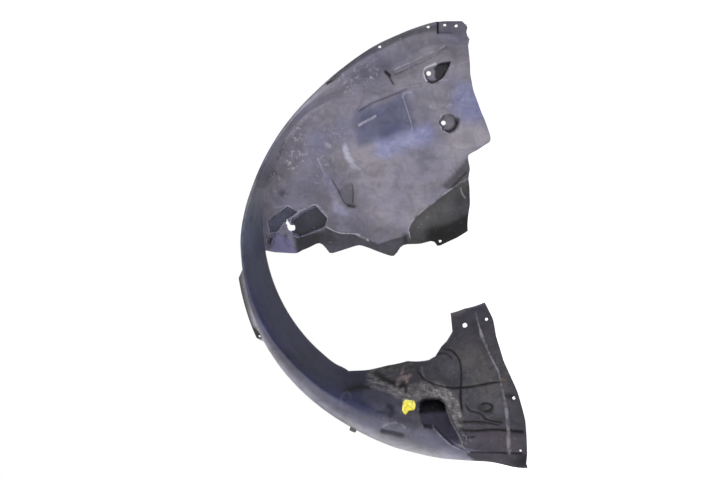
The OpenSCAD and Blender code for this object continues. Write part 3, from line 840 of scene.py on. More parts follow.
    @property
    def patches(self) -> tuple[Patch, ...]:
        """The stretches of skin with a colour of their own, in the order in which they are laid."""
        return (
            # Panel
            # Painted sheen where the panel is brightest
            Patch(Path(((-100, 110), (-60, 30)), 30.0), (0.225, 0.208, 0.245), 0.8, 60.0),
            Patch(Path(((-120, 275), (40, 322)), 14.0), (0.142, 0.134, 0.172), 0.6, 34.0),
            Patch(Path(((-20, 225), (30, 238)), 12.0), (0.150, 0.146, 0.192), 0.6, 30.0),
            Patch(Path(((-150, -12), (-70, -18)), 4.0), (0.120, 0.112, 0.140), 0.7, 26.0),
            # Painted sheen on the panel's upper right
            Patch(Path(((30, 140), (85, 175)), 14.0), (0.265, 0.250, 0.300), 0.8, 34.0),
            # Shallow recess under rib 2: painted shade with a blue painted reflection, and a light
            # blue painted reflection along its lower edge
            Patch(Outline(((-146, 200), (-99, 212), (-59, 233), (-47, 174), (-90, 160),
                           (-140, 150))),
                  (0.090, 0.094, 0.158), 0.85, 14.0),
            Patch(Disc((-81, 167), 8), (0.058, 0.066, 0.135), 0.7, 24.0),
            Patch(Path(((-96, 138), (-19, 166)), 3.0), (0.24, 0.25, 0.41), 0.85, 26.0),
            Patch(Outline(((44, 238), (38, 215), (55, 200), (75, 205), (66, 240))),
                  (0.20, 0.21, 0.36), 0.8, 28.0),
            Patch(Path(((-210, 150), (-170, 175)), 6.0), (0.13, 0.13, 0.21), 0.6, 30.0),
            Patch(Path(((-230, 60), (-215, -5)), 10.0), (0.120, 0.112, 0.150), 0.6, 40.0),
            # Painted highlights on the two crescent flutes
            Patch(Outline(((-172, 145), (-166, 143), (-161, 127), (-153, 112), (-141, 99),
                           (-152, 104), (-163, 115), (-170, 130))),
                  (0.40, 0.40, 0.53), 0.7, 2.6),
            Patch(path((-219, 120), (-213, 106), (-207, 91), half_width=0.8),
                  (0.30, 0.30, 0.40), 0.6, 2.4),
            # Lighter and darker sides of the V-shaped hollow and a dark line at its foot: painted
            # light and shade
            Patch(Outline(((-207, 92), (-201, 88), (-188, 60), (-182, 36), (-190, 40),
                           (-196, 66))),
                  (0.22, 0.215, 0.30), 0.6, 6.0),
            Patch(Outline(((-191, 40), (-189, 25), (-170, 18), (-174, 30))),
                  (0.26, 0.26, 0.35), 0.7, 6.0),
            Patch(Outline(((-180, 60), (-170, 70), (-157, 74), (-155, 34), (-168, 38))),
                  (0.085, 0.080, 0.105), 0.7, 6.0),
            Patch(Path(((-163, 34), (-152, 32)), 1.5, True), (0.02, 0.02, 0.026), 0.8, 4.0),
            # Painted shadows along the lower sides of the two ribs
            Patch(path((-77, 270), (13, 312), half_width=0.6), (0.055, 0.050, 0.068), 0.8, 1.6),
            Patch(path((-141, 206), (-118, 219), (-76, 236), (-56, 244), half_width=0.6),
                  (0.060, 0.056, 0.076), 0.55, 2.4),
            # Painted shade in the notch at the end of rib 1
            Patch(path((-93, 275), (-86, 268), half_width=1.4), (0.03, 0.028, 0.035), 0.9, 3.0),
            Patch(path((-284, 143), (-296, 113), (-310, 84), (-318, 66), half_width=0.6),
                  (0.05, 0.047, 0.06), 0.5, 2.0),
            Patch(Disc((-287, 57), 5), (0.040, 0.038, 0.048), 0.8, 4.0),
            Patch(Path(((-202, 146), (-196, 143)), 1.5, True), (0.32, 0.31, 0.37), 0.6, 4.0),
            Patch(Path(((-320, 130), (-322, 90)), 6.0), (0.10, 0.092, 0.12), 0.7, 20.0),
            # Painted shade in a band above the fold of the flap
            Patch(Outline(((61, 122), (36, 92), (14, 70), (27, 64), (61, 86))),
                  (0.045, 0.043, 0.050), 0.8, 6.0),
            # Painted shadow at the nick where the top flange starts
            Patch(path((-198, 251), (-192, 254), (-186, 259), half_width=1.0),
                  (0.004, 0.004, 0.005), 1.0, 2.5),
            # Painted shade along the top lip, which faces away from the light
            Patch(path((-186, 261), (-169, 277), (-134, 301), (-103, 317), (-55, 339), (-5, 351),
                       half_width=3.0),
                  (0.062, 0.060, 0.072), 0.8, 4.0),
            Patch(Outline(((0, 342), (23, 340), (52, 330), (60, 380), (0, 380))),
                  (0.100, 0.095, 0.120), 0.8, 4.0),
            # Painted shadow in the gap where the front tab is split off
            Patch(Path(((-0.6, 368), (0.2, 341)), 0.9, True), (0.003, 0.003, 0.004), 1.0, 1.4),
            # Screw seats: painted shade on the wall beside the hole and on the edge below it, and
            # painted light on their left walls
            Patch(self.upper_mouth, (0.165, 0.155, 0.195), 0.9, 1.5),
            Patch(Outline(((-4, 285), (8, 290), (23, 292), (19, 281), (12, 268), (3, 262),
                           (-3, 266), (-2, 276))),
                  (0.020, 0.020, 0.025), 0.95, 3.0),
            Patch(path((-20, 262), (-12, 257), (0, 260), half_width=1.5),
                  (0.016, 0.016, 0.020), 0.9, 3.0),
            Patch(self.lower_mouth, (0.165, 0.155, 0.190), 0.9, 1.5),
            Patch(path((38, 190), (36, 180), (28, 171), (17, 169), half_width=2.0),
                  (0.028, 0.027, 0.034), 0.9, 5.0),
            Patch(path((-19, 260), (-24, 271), (-20, 281), (-11, 285), (-3, 288), half_width=1.6),
                  (0.42, 0.40, 0.47), 0.9, 1.5),
            Patch(path((20, 167), (10, 173), (8, 184), (8, 192), (11, 198), (20, 201),
                       half_width=1.6),
                  (0.30, 0.28, 0.34), 0.9, 1.5),
            # Pockets: painted light and shade inside them, A lighter, B darker with a darker spot,
            # and the corner pocket painted black
            Patch(self.pocket_a, (0.130, 0.134, 0.190), 0.9, 1.5),
            Patch(self.pocket_b, (0.026, 0.026, 0.040), 0.95, 1.5),
            Patch(Disc((-235, 14), 8), (0.060, 0.058, 0.082), 0.7, 16.0),
            Patch(self.corner_pocket, (0.006, 0.006, 0.008), 1.0, 3.0),
            Patch(Outline(((-261, -25), (-201, -16), (-192, -35), (-220, -37), (-257, -53))),
                  (0.018, 0.018, 0.023), 1.0, 11.0),
            Patch(Outline((*POCKET_SILL, (-109, -40), (-83, -31), (-55, -24), (-52, -70),
                           (-225, -60))),
                  (0.034, 0.033, 0.042), 0.85, 3.0),
            Patch(Outline(((-317, -44), (-302, -19), (-288, -25), (-281, -22), (-274, -37),
                           (-262, -56), (-300, -60))),
                  (0.16, 0.15, 0.26), 0.85, 2.5),
            Patch(path((-303, -20), (-306, -34), (-312, -44), half_width=0.8),
                  (0.05, 0.05, 0.08), 0.8, 4.0),
            Patch(path((-281, -22), (-284, -34), (-276, -44), half_width=0.8),
                  (0.07, 0.07, 0.11), 0.7, 4.0),
            # Flap
            Patch(self.flap, (0.053, 0.052, 0.057), 1.0, 2.5),
            Patch(Outline(((61, 11), (20, -9), (-8, -14), (-14, -40), (75, -50), (75, 15))),
                  (0.012, 0.012, 0.013), 0.9, 12.0),
            Patch(Path(((-20, 4), (22, 34)), 4.0), (0.080, 0.079, 0.083), 0.6, 18.0),
            Patch(Path(((-56, -24), (-54, -40)), 2.0), (0.02, 0.02, 0.022), 0.8, 8.0),
            # Rear panel
            # Painted shadow on the drain's upper wall
            Patch(Outline(((-34, -314), (-29, -309), (-20, -307), (4, -311), (14, -324), (12, -331),
                           (-13, -332), (-33, -330))),
                  (0.004, 0.004, 0.006), 1.0, 3.0),
            Patch(Outline(((-31, -333), (10, -333), (20, -352), (36, -378), (20, -380), (-6, -354),
                           (-26, -349))),
                  (0.040, 0.037, 0.062), 0.9, 4.0),
            Patch(Outline(((50, -397), (86, -396), (120, -397), (150, -398), (152, -424),
                           (76, -424))),
                  (0.010, 0.010, 0.012), 0.97, 3.0),
            Patch(Path(((100, -302), (118, -304), (132, -307)), 1.5),
                  (0.008, 0.008, 0.009), 0.9, 5.0),
            # Dark in and along the grooves: painted shade
            Patch(Path(((79, -324), (92, -325)), 5.0, True), (0.016, 0.015, 0.018), 0.85, 7.0),
            Patch(Path(((72, -346), (108, -346)), 2.0), (0.020, 0.019, 0.022), 0.7, 7.0),
            Patch(path((40, -358), (64, -360), (100, -358), (146, -361), half_width=1.4),
                  (0.010, 0.009, 0.011), 0.85, 4.0),
            Patch(path((38, -348), (60, -347), (80, -348), half_width=1.0),
                  (0.014, 0.013, 0.015), 0.8, 4.0),
            Patch(path((-1, -288), (25, -294), (58, -292), (97, -286), half_width=1.0),
                  (0.012, 0.012, 0.013), 0.8, 3.0),
            Patch(path((42, -300), (42, -320), (44, -336), half_width=0.8),
                  (0.014, 0.014, 0.015), 0.7, 3.0),
            Patch(Path(((70, -375), (110, -385)), 14.0), (0.075, 0.062, 0.078), 0.6, 30.0),
            Patch(Path(((20, -265), (22, -285)), 6.0), (0.080, 0.079, 0.086), 0.5, 20.0),
            Patch(path((-64, -268), (-60, -277), (-54, -283), half_width=0.8),
                  (0.42, 0.33, 0.33), 0.8, 2.2),
            Patch(path((-70, -281), (-59, -278), (-46, -274), half_width=0.7),
                  (0.36, 0.29, 0.29), 0.7, 2.0),
            Patch(path((-66, -290), (-58, -286), (-56, -296), half_width=1.0),
                  (0.006, 0.006, 0.006), 0.9, 3.0),
            # Painted shade along the groove
            Patch(path((-162, -292), (-138, -290), (-118, -292), half_width=2.0),
                  (0.014, 0.014, 0.026), 0.65, 5.0),
            Patch(path((-170, -301), (-161, -293), (-152, -301), half_width=0.6),
                  (0.10, 0.10, 0.15), 0.6, 2.0),
            Patch(Path(((60, -250), (95, -300)), 10.0), (0.095, 0.092, 0.098), 0.55, 30.0),
            Patch(Disc((117, -281), 2), (0.12, 0.075, 0.05), 0.8, 4.0),
            # Painted shade in the two dishes
            Patch(Path(((-97, -358), (-80, -361), (-64, -365)), 1.5, True),
                  (0.016, 0.016, 0.026), 0.9, 6.0),
            Patch(Outline(REAR_DISH), (0.022, 0.022, 0.036), 0.8, 4.0),
            Patch(path((-112, -276), (-100, -281), (-77, -286), half_width=2.0),
                  (0.008, 0.008, 0.008), 0.9, 4.0),
            Patch(Path(((-118, -277), (-84, -266), (-47, -264)), 2.0),
                  (0.022, 0.021, 0.022), 0.7, 8.0),
            Patch(Outline(((-128, -290), (-75, -312), (-58, -318), (-62, -328), (-100, -322),
                           (-130, -303))),
                  (0.082, 0.079, 0.108), 0.75, 8.0),
            Patch(Path(((-78, -332), (-44, -346)), 5.0), (0.040, 0.038, 0.056), 0.7, 9.0),
            # Painted shade on the rear dish's right wall
            Patch(path((-88, -316), (-78, -322), (-84, -330), half_width=2.0),
                  (0.020, 0.020, 0.032), 0.8, 4.0),
            Patch(path((-28, -262), (-24, -275), (-17, -283), half_width=0.5),
                  (0.20, 0.20, 0.24), 0.5, 2.0),
        )

    def floor_of(self, pit: Pit) -> float:
        """Height of a recess's floor."""
        return float(self.form.plane_z(pit.level_at)) - pit.depth

    def to_row(self, p: np.ndarray) -> np.ndarray:
        """From the drawing frame in mm to the row's frame in metres.

        X is y, Y is minus z and Z is minus x. The origin is the middle of the lower seat's floor.
        """
        u, v = self.lower_seat
        floor = self.floor_of(self.pits[1])
        return np.stack([p[..., 1] - v, floor - p[..., 2], u - p[..., 0]], axis=-1) * MM

    def boss_local(self, x: np.ndarray, y: np.ndarray) -> tuple[np.ndarray, np.ndarray, np.ndarray]:
        """Places across and along the clip's boss, and the height of its leaning top there."""
        a = math.radians(self.boss_angle)
        across = -(x * math.sin(a)) + y * math.cos(a)
        along = x * math.cos(a) + y * math.sin(a) - self.boss_r
        lean = math.radians(self.boss_lean)
        top = self.form.depth - self.boss_drop + along * math.tan(lean)
        return across, along / math.cos(lean), top

    @property
    def crisp(self) -> tuple[Figure, ...]:
        """Figures whose borders the grid follows: the pits' mouths and floors, and the holes."""
        mouths = [pit.mouth for pit in self.pits]
        floors = [Inset(pit.mouth, pit.wall) for pit in self.pits]
        return (*mouths, *floors, *self.holes)

    def nearness(self, x: np.ndarray, y: np.ndarray) -> np.ndarray:
        """Distance from the nearest detail, which sets how fine the grid is there."""
        gaps = [np.abs(f.distance(x, y)) for f in (*self.crisp, *self.ribs)]
        gaps += [np.maximum(r.line.distance(x, y) - r.width, 0) + self.relief_ease
                 for r in self.reliefs]
        gaps += [np.abs(d.figure.distance(x, y)) + self.dish_ease for d in self.dishes]
        gaps += [np.abs(self.drain.distance(x, y) + self.drain_wall / 2) + self.drain_ease]
        gaps += [np.abs(line.distance(x, y)) + self.wear_and_highlight_ease for line, _ in self.wear_and_highlight]
        split_x, split_y = self.tab_split
        split = np.abs(x - split_x - self.tab_step[0] / 2)
        gaps += [np.where(y > split_y - self.tab_reach, split, FAR)]
        across, along, _ = self.boss_local(x, y)
        box = np.maximum(np.abs(across) - self.boss_half[0], np.abs(along) - self.boss_half[1])
        gaps += [np.abs(box)]
        return np.min(gaps, axis=0)

    def pressed(self, p: np.ndarray) -> np.ndarray:
        """Presses every detail into the smooth form.

        Low forms, ribs, the drain recess, deep at its top and shallow at its end, and the dropped
        front tab add their heights. In a pit the height goes down to the level floor over the width
        of its wall. The clip's boss takes the higher of the sheet and its own leaning top.

        Args:
            p: Array (n, 3) of points on the smooth form.

        Returns:
            The same points with new heights.
        """
        x, y, z = p.T
        ribs = [soft(0.5 - r.distance(x, y) / self.rib_wall) for r in self.ribs]
        z = z + sum(d.lift(x, y) for d in (*self.reliefs, *self.dishes))
        z = z + self.rib_height * np.max(ribs, axis=0)
        (ax, ay), (bx, by) = self.drain_run
        run = ((x - ax) * (bx - ax) + (y - ay) * (by - ay)) / ((bx - ax) ** 2 + (by - ay) ** 2)
        sunk = self.drain_depth * (1 - self.drain_rise * soft(run))
        z = z - sunk * soft(-self.drain.distance(x, y) / self.drain_wall)
        (split_x, split_y), (step_x, step_y) = self.tab_split, self.tab_step
        faded, fade = self.tab_fade
        dropped = ramp(x, split_x, step_x) * ramp(y, split_y, step_y) * soft((faded - x) / fade)
        z = z - self.tab_drop * dropped
        for pit in self.pits:
            share = np.clip(-pit.mouth.distance(x, y) / pit.wall, 0, 1)
            z = z + np.minimum(self.floor_of(pit) - z, 0) * share
        across, along, top = self.boss_local(x, y)
        half_across, half_along = self.boss_half
        inside = np.minimum(half_across - np.abs(across), half_along - np.abs(along))
        z = z + np.maximum(top - z, 0) * soft(0.5 + inside / self.boss_round)
        return np.stack([x, y, z], axis=-1)

    def refined(self) -> tuple[np.ndarray, list[np.ndarray]]:
        """The flat pattern, cut finer near every detail.

        Returns:
            Pattern points (n, 2), and the faces as one array of triangles and one of quads.
        """
        points, cells = self.form.pattern(self.row_step, *self.cells)
        bm = bmesh.new()
        verts = [bm.verts.new((x, y, 0.0)) for x, y in points]
        for cell in cells:
            bm.faces.new([verts[k] for k in cell])
        for _ in range(self.passes):
            bm.verts.index_update()
            flat = np.array([v.co[:2] for v in bm.verts])
            ends = np.array([(e.verts[0].index, e.verts[1].index) for e in bm.edges])
            space = self.form.to_space(*flat.T)
            length = np.linalg.norm(space[ends[:, 0]] - space[ends[:, 1]], axis=1)
            middle = (space[ends[:, 0]] + space[ends[:, 1]]) / 2
            wanted = self.fine + self.growth * self.nearness(middle[:, 0], middle[:, 1])
            cut = np.nonzero(length > self.stretch * np.minimum(wanted, self.coarse))[0]
            if not len(cut):
                break
            bm.edges.ensure_lookup_table()
            edges = [bm.edges[k] for k in cut]
            bmesh.ops.subdivide_edges(bm, edges=edges, cuts=1, use_grid_fill=True)
        bmesh.ops.triangulate(bm, faces=[f for f in bm.faces if len(f.verts) > 4])
        bm.verts.index_update()
        flat = np.array([v.co[:2] for v in bm.verts])
        corners = [[v.index for v in f.verts] for f in bm.faces]
        faces = [np.array([c for c in corners if len(c) == k]).reshape(-1, k) for k in (3, 4)]
        bm.free()
        return flat, faces

    @staticmethod
    def normals(p: np.ndarray, faces: list[np.ndarray]) -> np.ndarray:
        """Normal at each point: the crossed diagonals of its faces, added up and made one long."""
        total = np.zeros_like(p)
        for group in faces:
            if len(group):
                a, b = p[group[:, 0]], p[group[:, 1]]
                c, d = p[group[:, 2]], p[group[:, -1]]
                n = np.cross(c - a, d - b) if group.shape[1] == 4 else np.cross(b - a, c - a)
                for k in range(group.shape[1]):
                    np.add.at(total, group[:, k], n)
        return total / np.maximum(np.linalg.norm(total, axis=1, keepdims=True), TINY)

    def snapped(self, p: np.ndarray, faces: list[np.ndarray]) -> np.ndarray:
        """Moves the points next to a crisp border onto it, along the surface.

        Args:
            p: Array (n, 3) of points on the smooth form.
            faces: Faces of the grid, as triangles and quads.

        Returns:
            The points, with those in reach moved by their distance along its slope.
        """
        n = self.normals(p, faces)
        n = n * np.where(n[:, 2:] < 0, -1, 1)
        step = self.snap_step
        p = p.copy()
        for figure in self.crisp:
            d = figure.distance(p[:, 0], p[:, 1])
            near = np.nonzero((np.abs(d) < self.snap_reach) & (n[:, 2] > self.least_normal))[0]
            x, y = p[near, 0], p[near, 1]
            gx = (figure.distance(x + step, y) - figure.distance(x - step, y)) / (2 * step)
            gy = (figure.distance(x, y + step) - figure.distance(x, y - step)) / (2 * step)
            size = np.maximum(np.hypot(gx, gy), self.least_slope)
            mx, my = -d[near] * gx / size**2, -d[near] * gy / size**2
            p[near, 0] += mx
            p[near, 1] += my
            p[near, 2] -= (n[near, 0] * mx + n[near, 1] * my) / n[near, 2]
        return p

    def opened(self, p: np.ndarray, faces: list[np.ndarray]) -> list[np.ndarray]:
        """Drops the faces that have a corner or their middle in a hole."""

        def open_at(q: np.ndarray, inside: float) -> np.ndarray:
            """Whether points lie in a hole, at least so far inside its edge."""
            return np.min([h.distance(q[:, 0], q[:, 1]) for h in self.holes], axis=0) < -inside

        corner_slack, middle_slack = self.hole_slack
        cut = open_at(p, corner_slack)
        return [g[~(cut[g].any(axis=1) | open_at(p[g].mean(axis=1), middle_slack))] for g in faces]

    def closed(self, p: np.ndarray, n: np.ndarray,
               faces: list[np.ndarray]) -> tuple[np.ndarray, list[np.ndarray]]:
        """Adds the back, one thickness behind the front, and a wall along every border.

        Args:
            p: Points of the front.
            n: Normals there.
            faces: Faces of the front, as triangles and quads.

        Returns:
            The points of front and back, and all the faces in groups.
        """
        count = len(p)
        borders = np.concatenate([np.stack([g[:, k], g[:, (k + 1) % g.shape[1]]], axis=1)
                                  for g in faces for k in range(g.shape[1])]).astype(np.int64)
        there, back = borders @ (count, 1), borders @ (1, count)
        a, b = borders[~np.isin(there, back)].T
        walls = np.stack([b, a, a + count, b + count], axis=1)
        behind = [g[:, ::-1] + count for g in faces]
        return np.concatenate([p, p - self.sheet * n]), [*faces, *behind, walls]

    def build(self) -> bpy.types.Object:
        """Makes the sheet: the front, cut and pressed, with its back and edges, and paints it."""
        flat, faces = self.refined()
        p = self.snapped(self.form.to_space(*flat.T), faces)
        faces = self.opened(p, faces)
        p = self.pressed(p)
        n = self.normals(p, faces)
        if n[:, 2].sum() < 0:
            faces = [g[:, ::-1] for g in faces]
            n = -n
        used = np.zeros(len(p), bool)
        for g in faces:
            used[g] = True
        number = np.cumsum(used) - 1
        points, groups = self.closed(p[used], n[used], [number[g] for g in faces])
        mesh = bpy.data.meshes.new("liner_sheet")
        mesh.from_pydata(self.to_row(points), [], [f.tolist() for g in groups for f in g])
        mesh.polygons.foreach_set("use_smooth", np.ones(len(mesh.polygons), bool))
        mesh.set_sharp_from_angle(angle=math.radians(self.sharp_angle))
        self.paint(mesh, p[used], flat[used])
        triangles = sum(len(g) * (g.shape[1] - 2) for g in groups)
        log.info("liner_sheet: %d points, %d triangles", len(points), triangles)
        return linked("liner_sheet", mesh)

    def paint(self, mesh: bpy.types.Mesh, p: np.ndarray, flat: np.ndarray) -> None:
        """Stores the skin's broad colour, and where grooves, wear and highlights, dust and chips
        lie.

        The colour starts from the roof's tones round the axle, painted lighter on a stretch in
        shade, and the tone of the rear panel. Over it go the lip, lighter towards its edge as a
        painted highlight, the fender tab, darkened as painted shade, the front panel with its
        painted sheen, the patches in their order, many of them painted light and shade, and a ring
        of painted light on the walls of the pockets. The back of the sheet has a tone of its own.
        The rest is stored as numbers, which the material turns into looks: the grooves into painted
        shade, the edges into wear and painted highlights.

        Args:
            mesh: The sheet, with the front's points first and the back's after them.
            p: Points of the front.
            flat: The same points in the flat pattern.
        """
        x, y, _ = p.T
        form = self.form
        angle = form.angle_at(*flat.T)
        out = np.hypot(*flat.T) - form.trim_r(angle)
        over = out - form.roof_width(angle)
        lip_width = form.lip_width(angle)
        tone = {name: np.broadcast_to(colour, (len(p), 3)) for name, colour in self.skin.items()}

        # Roof tones round the axle, with painted light on the stretch from about 112 to 190 degrees
        places, tones = zip(*self.roof_tones)
        colour = np.stack([np.interp(angle, places, channel) for channel in zip(*tones)], axis=-1)
        colour = lay(colour, tone["rear"], ramp(angle, *self.rear_zone))
        # The lip grows lighter towards its edge: a painted highlight
        lightening = tone["lip_edge_highlight"] * np.interp(angle, *np.transpose(self.lip_sheen))[:, None]
        lip = lay(tone["lip"], lightening, soft(over / lip_width) ** self.lip_power)
        colour = lay(colour, lip, ramp(over, *self.lip_zone) * ramp(angle, *self.lip_angles))
        # The fender tab, near black: painted shade where it lies deeper than the lip
        colour = lay(colour, tone["tab"], ramp(over, lip_width, form.hem) * form.tab_share(angle))
        # The panel's light tone is painted sheen, dimmer towards its left end
        plain = ramp(x + self.panel_sheen_lean * y, *self.panel_sheen_zone)
        panel = lay(tone["panel_less_sheen"], tone["panel"], plain)
        colour = lay(colour, panel, soft(0.5 - out / self.rim_blend))
        for patch in self.patches:
            colour = lay(colour, np.array(patch.colour), patch.cover(x, y))
        # A ring of painted light on the pockets' walls, against their shade
        inside, half_width, border = self.wall_ring
        for pit in self.pits[2:]:
            ring = half_width - np.abs(pit.mouth.distance(x, y) + inside)
            colour = lay(colour, np.array(self.wall_painted_light), soft(ring / border))
        both = np.concatenate([colour, tone["back"]])
        layer = mesh.attributes.new("skin", "FLOAT_COLOR", "POINT")
        layer.data.foreach_set("color", np.insert(both, 3, 1.0, axis=1).ravel())

        def strongest(areas: Iterable[tuple[Figure, float, float]]) -> np.ndarray:
            """The strongest cover of several areas, each a figure, a share and a soft border."""
            return np.max([cover(*area, x, y) for area in areas], axis=0)

        # Depth into the grooves, which the material darkens as painted shade
        grooves = [r.lift(x, y) / r.height for r in self.reliefs if r.height < 0]
        layers = {
            "groove": np.max(grooves, axis=0),
            "wear_and_highlight": strongest((line, share, self.wear_and_highlight_border) for line, share in self.wear_and_highlight),
            "dust": strongest(self.dust_on) * (1 - strongest(self.dust_off)),
            "chips": strongest(self.chips_on),
        }
        for name, front in layers.items():
            layer = mesh.attributes.new(name, "FLOAT", "POINT")
            layer.data.foreach_set("value", np.concatenate([front, np.zeros(len(p))]))

    def short_tab(self) -> bpy.types.Object:
        """The short tab under the outer edge: a flat bar with rounded ends, drawn out radially."""
        reach, width, thick = self.tab_size
        corner = self.tab_corner
        a = np.array([self.tab_angle])
        r0 = float(self.form.edge_r(a)[0]) - self.sheet / 2
        drop = self.form.column(a, Section.EDGE_DROP)
        z0 = float((self.form.crest_z(a) - drop)[0]) - self.tab_below
        turn = np.linspace(-90, 90, self.tab_points)
        side = (width / 2 - corner) * np.sign(turn) + corner * np.sin(np.radians(turn))
        end = reach + self.sheet / 2 - corner + corner * np.cos(np.radians(turn))
        rx, ry = np.r_[0, end, 0], np.r_[-width / 2, side, width / 2]
        rad = math.radians(self.tab_angle)
        x = (r0 + rx) * math.cos(rad) - ry * math.sin(rad)
        y = (r0 + rx) * math.sin(rad) + ry * math.cos(rad)
        k = len(x)
        p = np.concatenate([np.stack([x, y, np.full(k, z0 + h)], axis=-1) for h in (0, thick)])
        i = np.arange(k)
        sides = np.stack([i, (i + 1) % k, (i + 1) % k + k, i + k], axis=1)
        mesh = bpy.data.meshes.new("short_tab")
        mesh.from_pydata(self.to_row(p), [], [i[::-1].tolist(), (i + k).tolist(), *sides.tolist()])
        return linked("short_tab", mesh)


class Value:
    """A number in a shader: plain arithmetic on it adds Math nodes."""

    def __init__(self, graph: "Graph", socket: bpy.types.NodeSocket) -> None:
        """Wraps one output socket of the graph."""
        self.graph = graph
        self.socket = socket

    def _math(self, operation: str, *inputs: object) -> "Value":
        """Adds one Math node."""
        return self.graph.node("ShaderNodeMath", {"operation": operation}, dict(enumerate(inputs)))

    def __add__(self, other: object) -> "Value":
        """Sum."""
        return self._math("ADD", self, other)

    __radd__ = __add__

    def __mul__(self, other: object) -> "Value":
        """Product."""
        return self._math("MULTIPLY", self, other)

    __rmul__ = __mul__

    def __sub__(self, other: object) -> "Value":
        """Difference."""
        return self._math("SUBTRACT", self, other)

    def __rsub__(self, other: object) -> "Value":
        """Difference with the wrapped value taken away."""
        return self._math("SUBTRACT", other, self)

    def clamped(self) -> "Value":
        """Held between 0 and 1."""
        return self.graph.node("ShaderNodeClamp", {}, {"Value": self})

    def between(self, low: float, high: float) -> "Value":
        """Smooth step from 0 at low to 1 at high."""
        return self.graph.node("ShaderNodeMapRange", {"interpolation_type": "SMOOTHSTEP"},
                               {"Value": self, "From Min": low, "From Max": high})


class Graph:
    """The node tree of one material, or of the world."""

    def __init__(self, owner: bpy.types.Material | bpy.types.World) -> None:
        """Empties the owner's tree."""
        owner.use_nodes = True
        self.owner = owner
        self.tree = owner.node_tree
        self.tree.nodes.clear()

    def node(self, kind: str, settings: dict, inputs: dict, output: int | str = 0) -> Value:
        """Adds a node.

        Args:
            kind: The node's type.
            settings: Its properties, which are set first.
            inputs: Values or links by socket name or number.
            output: Name or number of the output to return.

        Returns:
            The output as a value.
        """
        made = self.tree.nodes.new(kind)
        for key, value in settings.items():
            setattr(made, key, value)
        for key, value in inputs.items():
            self.feed(made.inputs[key], value)
        return Value(self, made.outputs[output])

    def feed(self, socket: bpy.types.NodeSocket, value: object) -> None:
        """Links a value to a socket, or sets the socket's own number or colour."""
        if isinstance(value, Value):
            self.tree.links.new(value.socket, socket)
        elif isinstance(value, tuple) and len(value) == 3 and socket.type == "RGBA":
            socket.default_value = (*value, 1.0)
        else:
            socket.default_value = value

    def place(self) -> Value:
        """Object coordinates, in metres."""
        return self.node("ShaderNodeTexCoord", {}, {}, "Object")

    def noise(self, scale: float, detail: float = 3.0, roughness: float = 0.55,
              distortion: float = 0.0, stretch: tuple[float, float, float] = (1, 1, 1)) -> Value:
        """Noise in object coordinates, about 0 to 1."""
        vector = self.node("ShaderNodeMapping", {}, {"Vector": self.place(), "Scale": stretch})
        return self.node("ShaderNodeTexNoise", {}, {
            "Vector": vector, "Scale": scale, "Detail": detail, "Roughness": roughness,
            "Distortion": distortion}, "Fac")

    def attribute(self, name: str, output: str = "Fac") -> Value:
        """A number stored on the mesh, or a colour with the output Color."""
        return self.node("ShaderNodeAttribute", {"attribute_name": name}, {}, output)

    def bump(self, strength: float, distance: float, height: Value) -> Value:
        """The surface's normal with low heights on it."""
        return self.node("ShaderNodeBump", {}, {
            "Strength": strength, "Distance": distance, "Height": height}, "Normal")

    def mix(self, share: object, a: object, b: object) -> Value:
        """Colour a where share is 0 and b where it is 1."""
        return self.node("ShaderNodeMix", {"data_type": "RGBA"}, {0: share, 6: a, 7: b}, 2)

    def surface(self, **inputs: object) -> bpy.types.Material:
        """Ends the graph in a Principled surface, with underscores in the names of its sockets."""
        inputs = {name.replace("_", " "): value for name, value in inputs.items()}
        self.close(self.node("ShaderNodeBsdfPrincipled", {}, inputs))
        return self.owner

    def close(self, shader: Value, kind: str = "ShaderNodeOutputMaterial") -> None:
        """Links the shader to the output."""
        end = self.tree.nodes.new(kind)
        self.tree.links.new(shader.socket, end.inputs["Surface"])


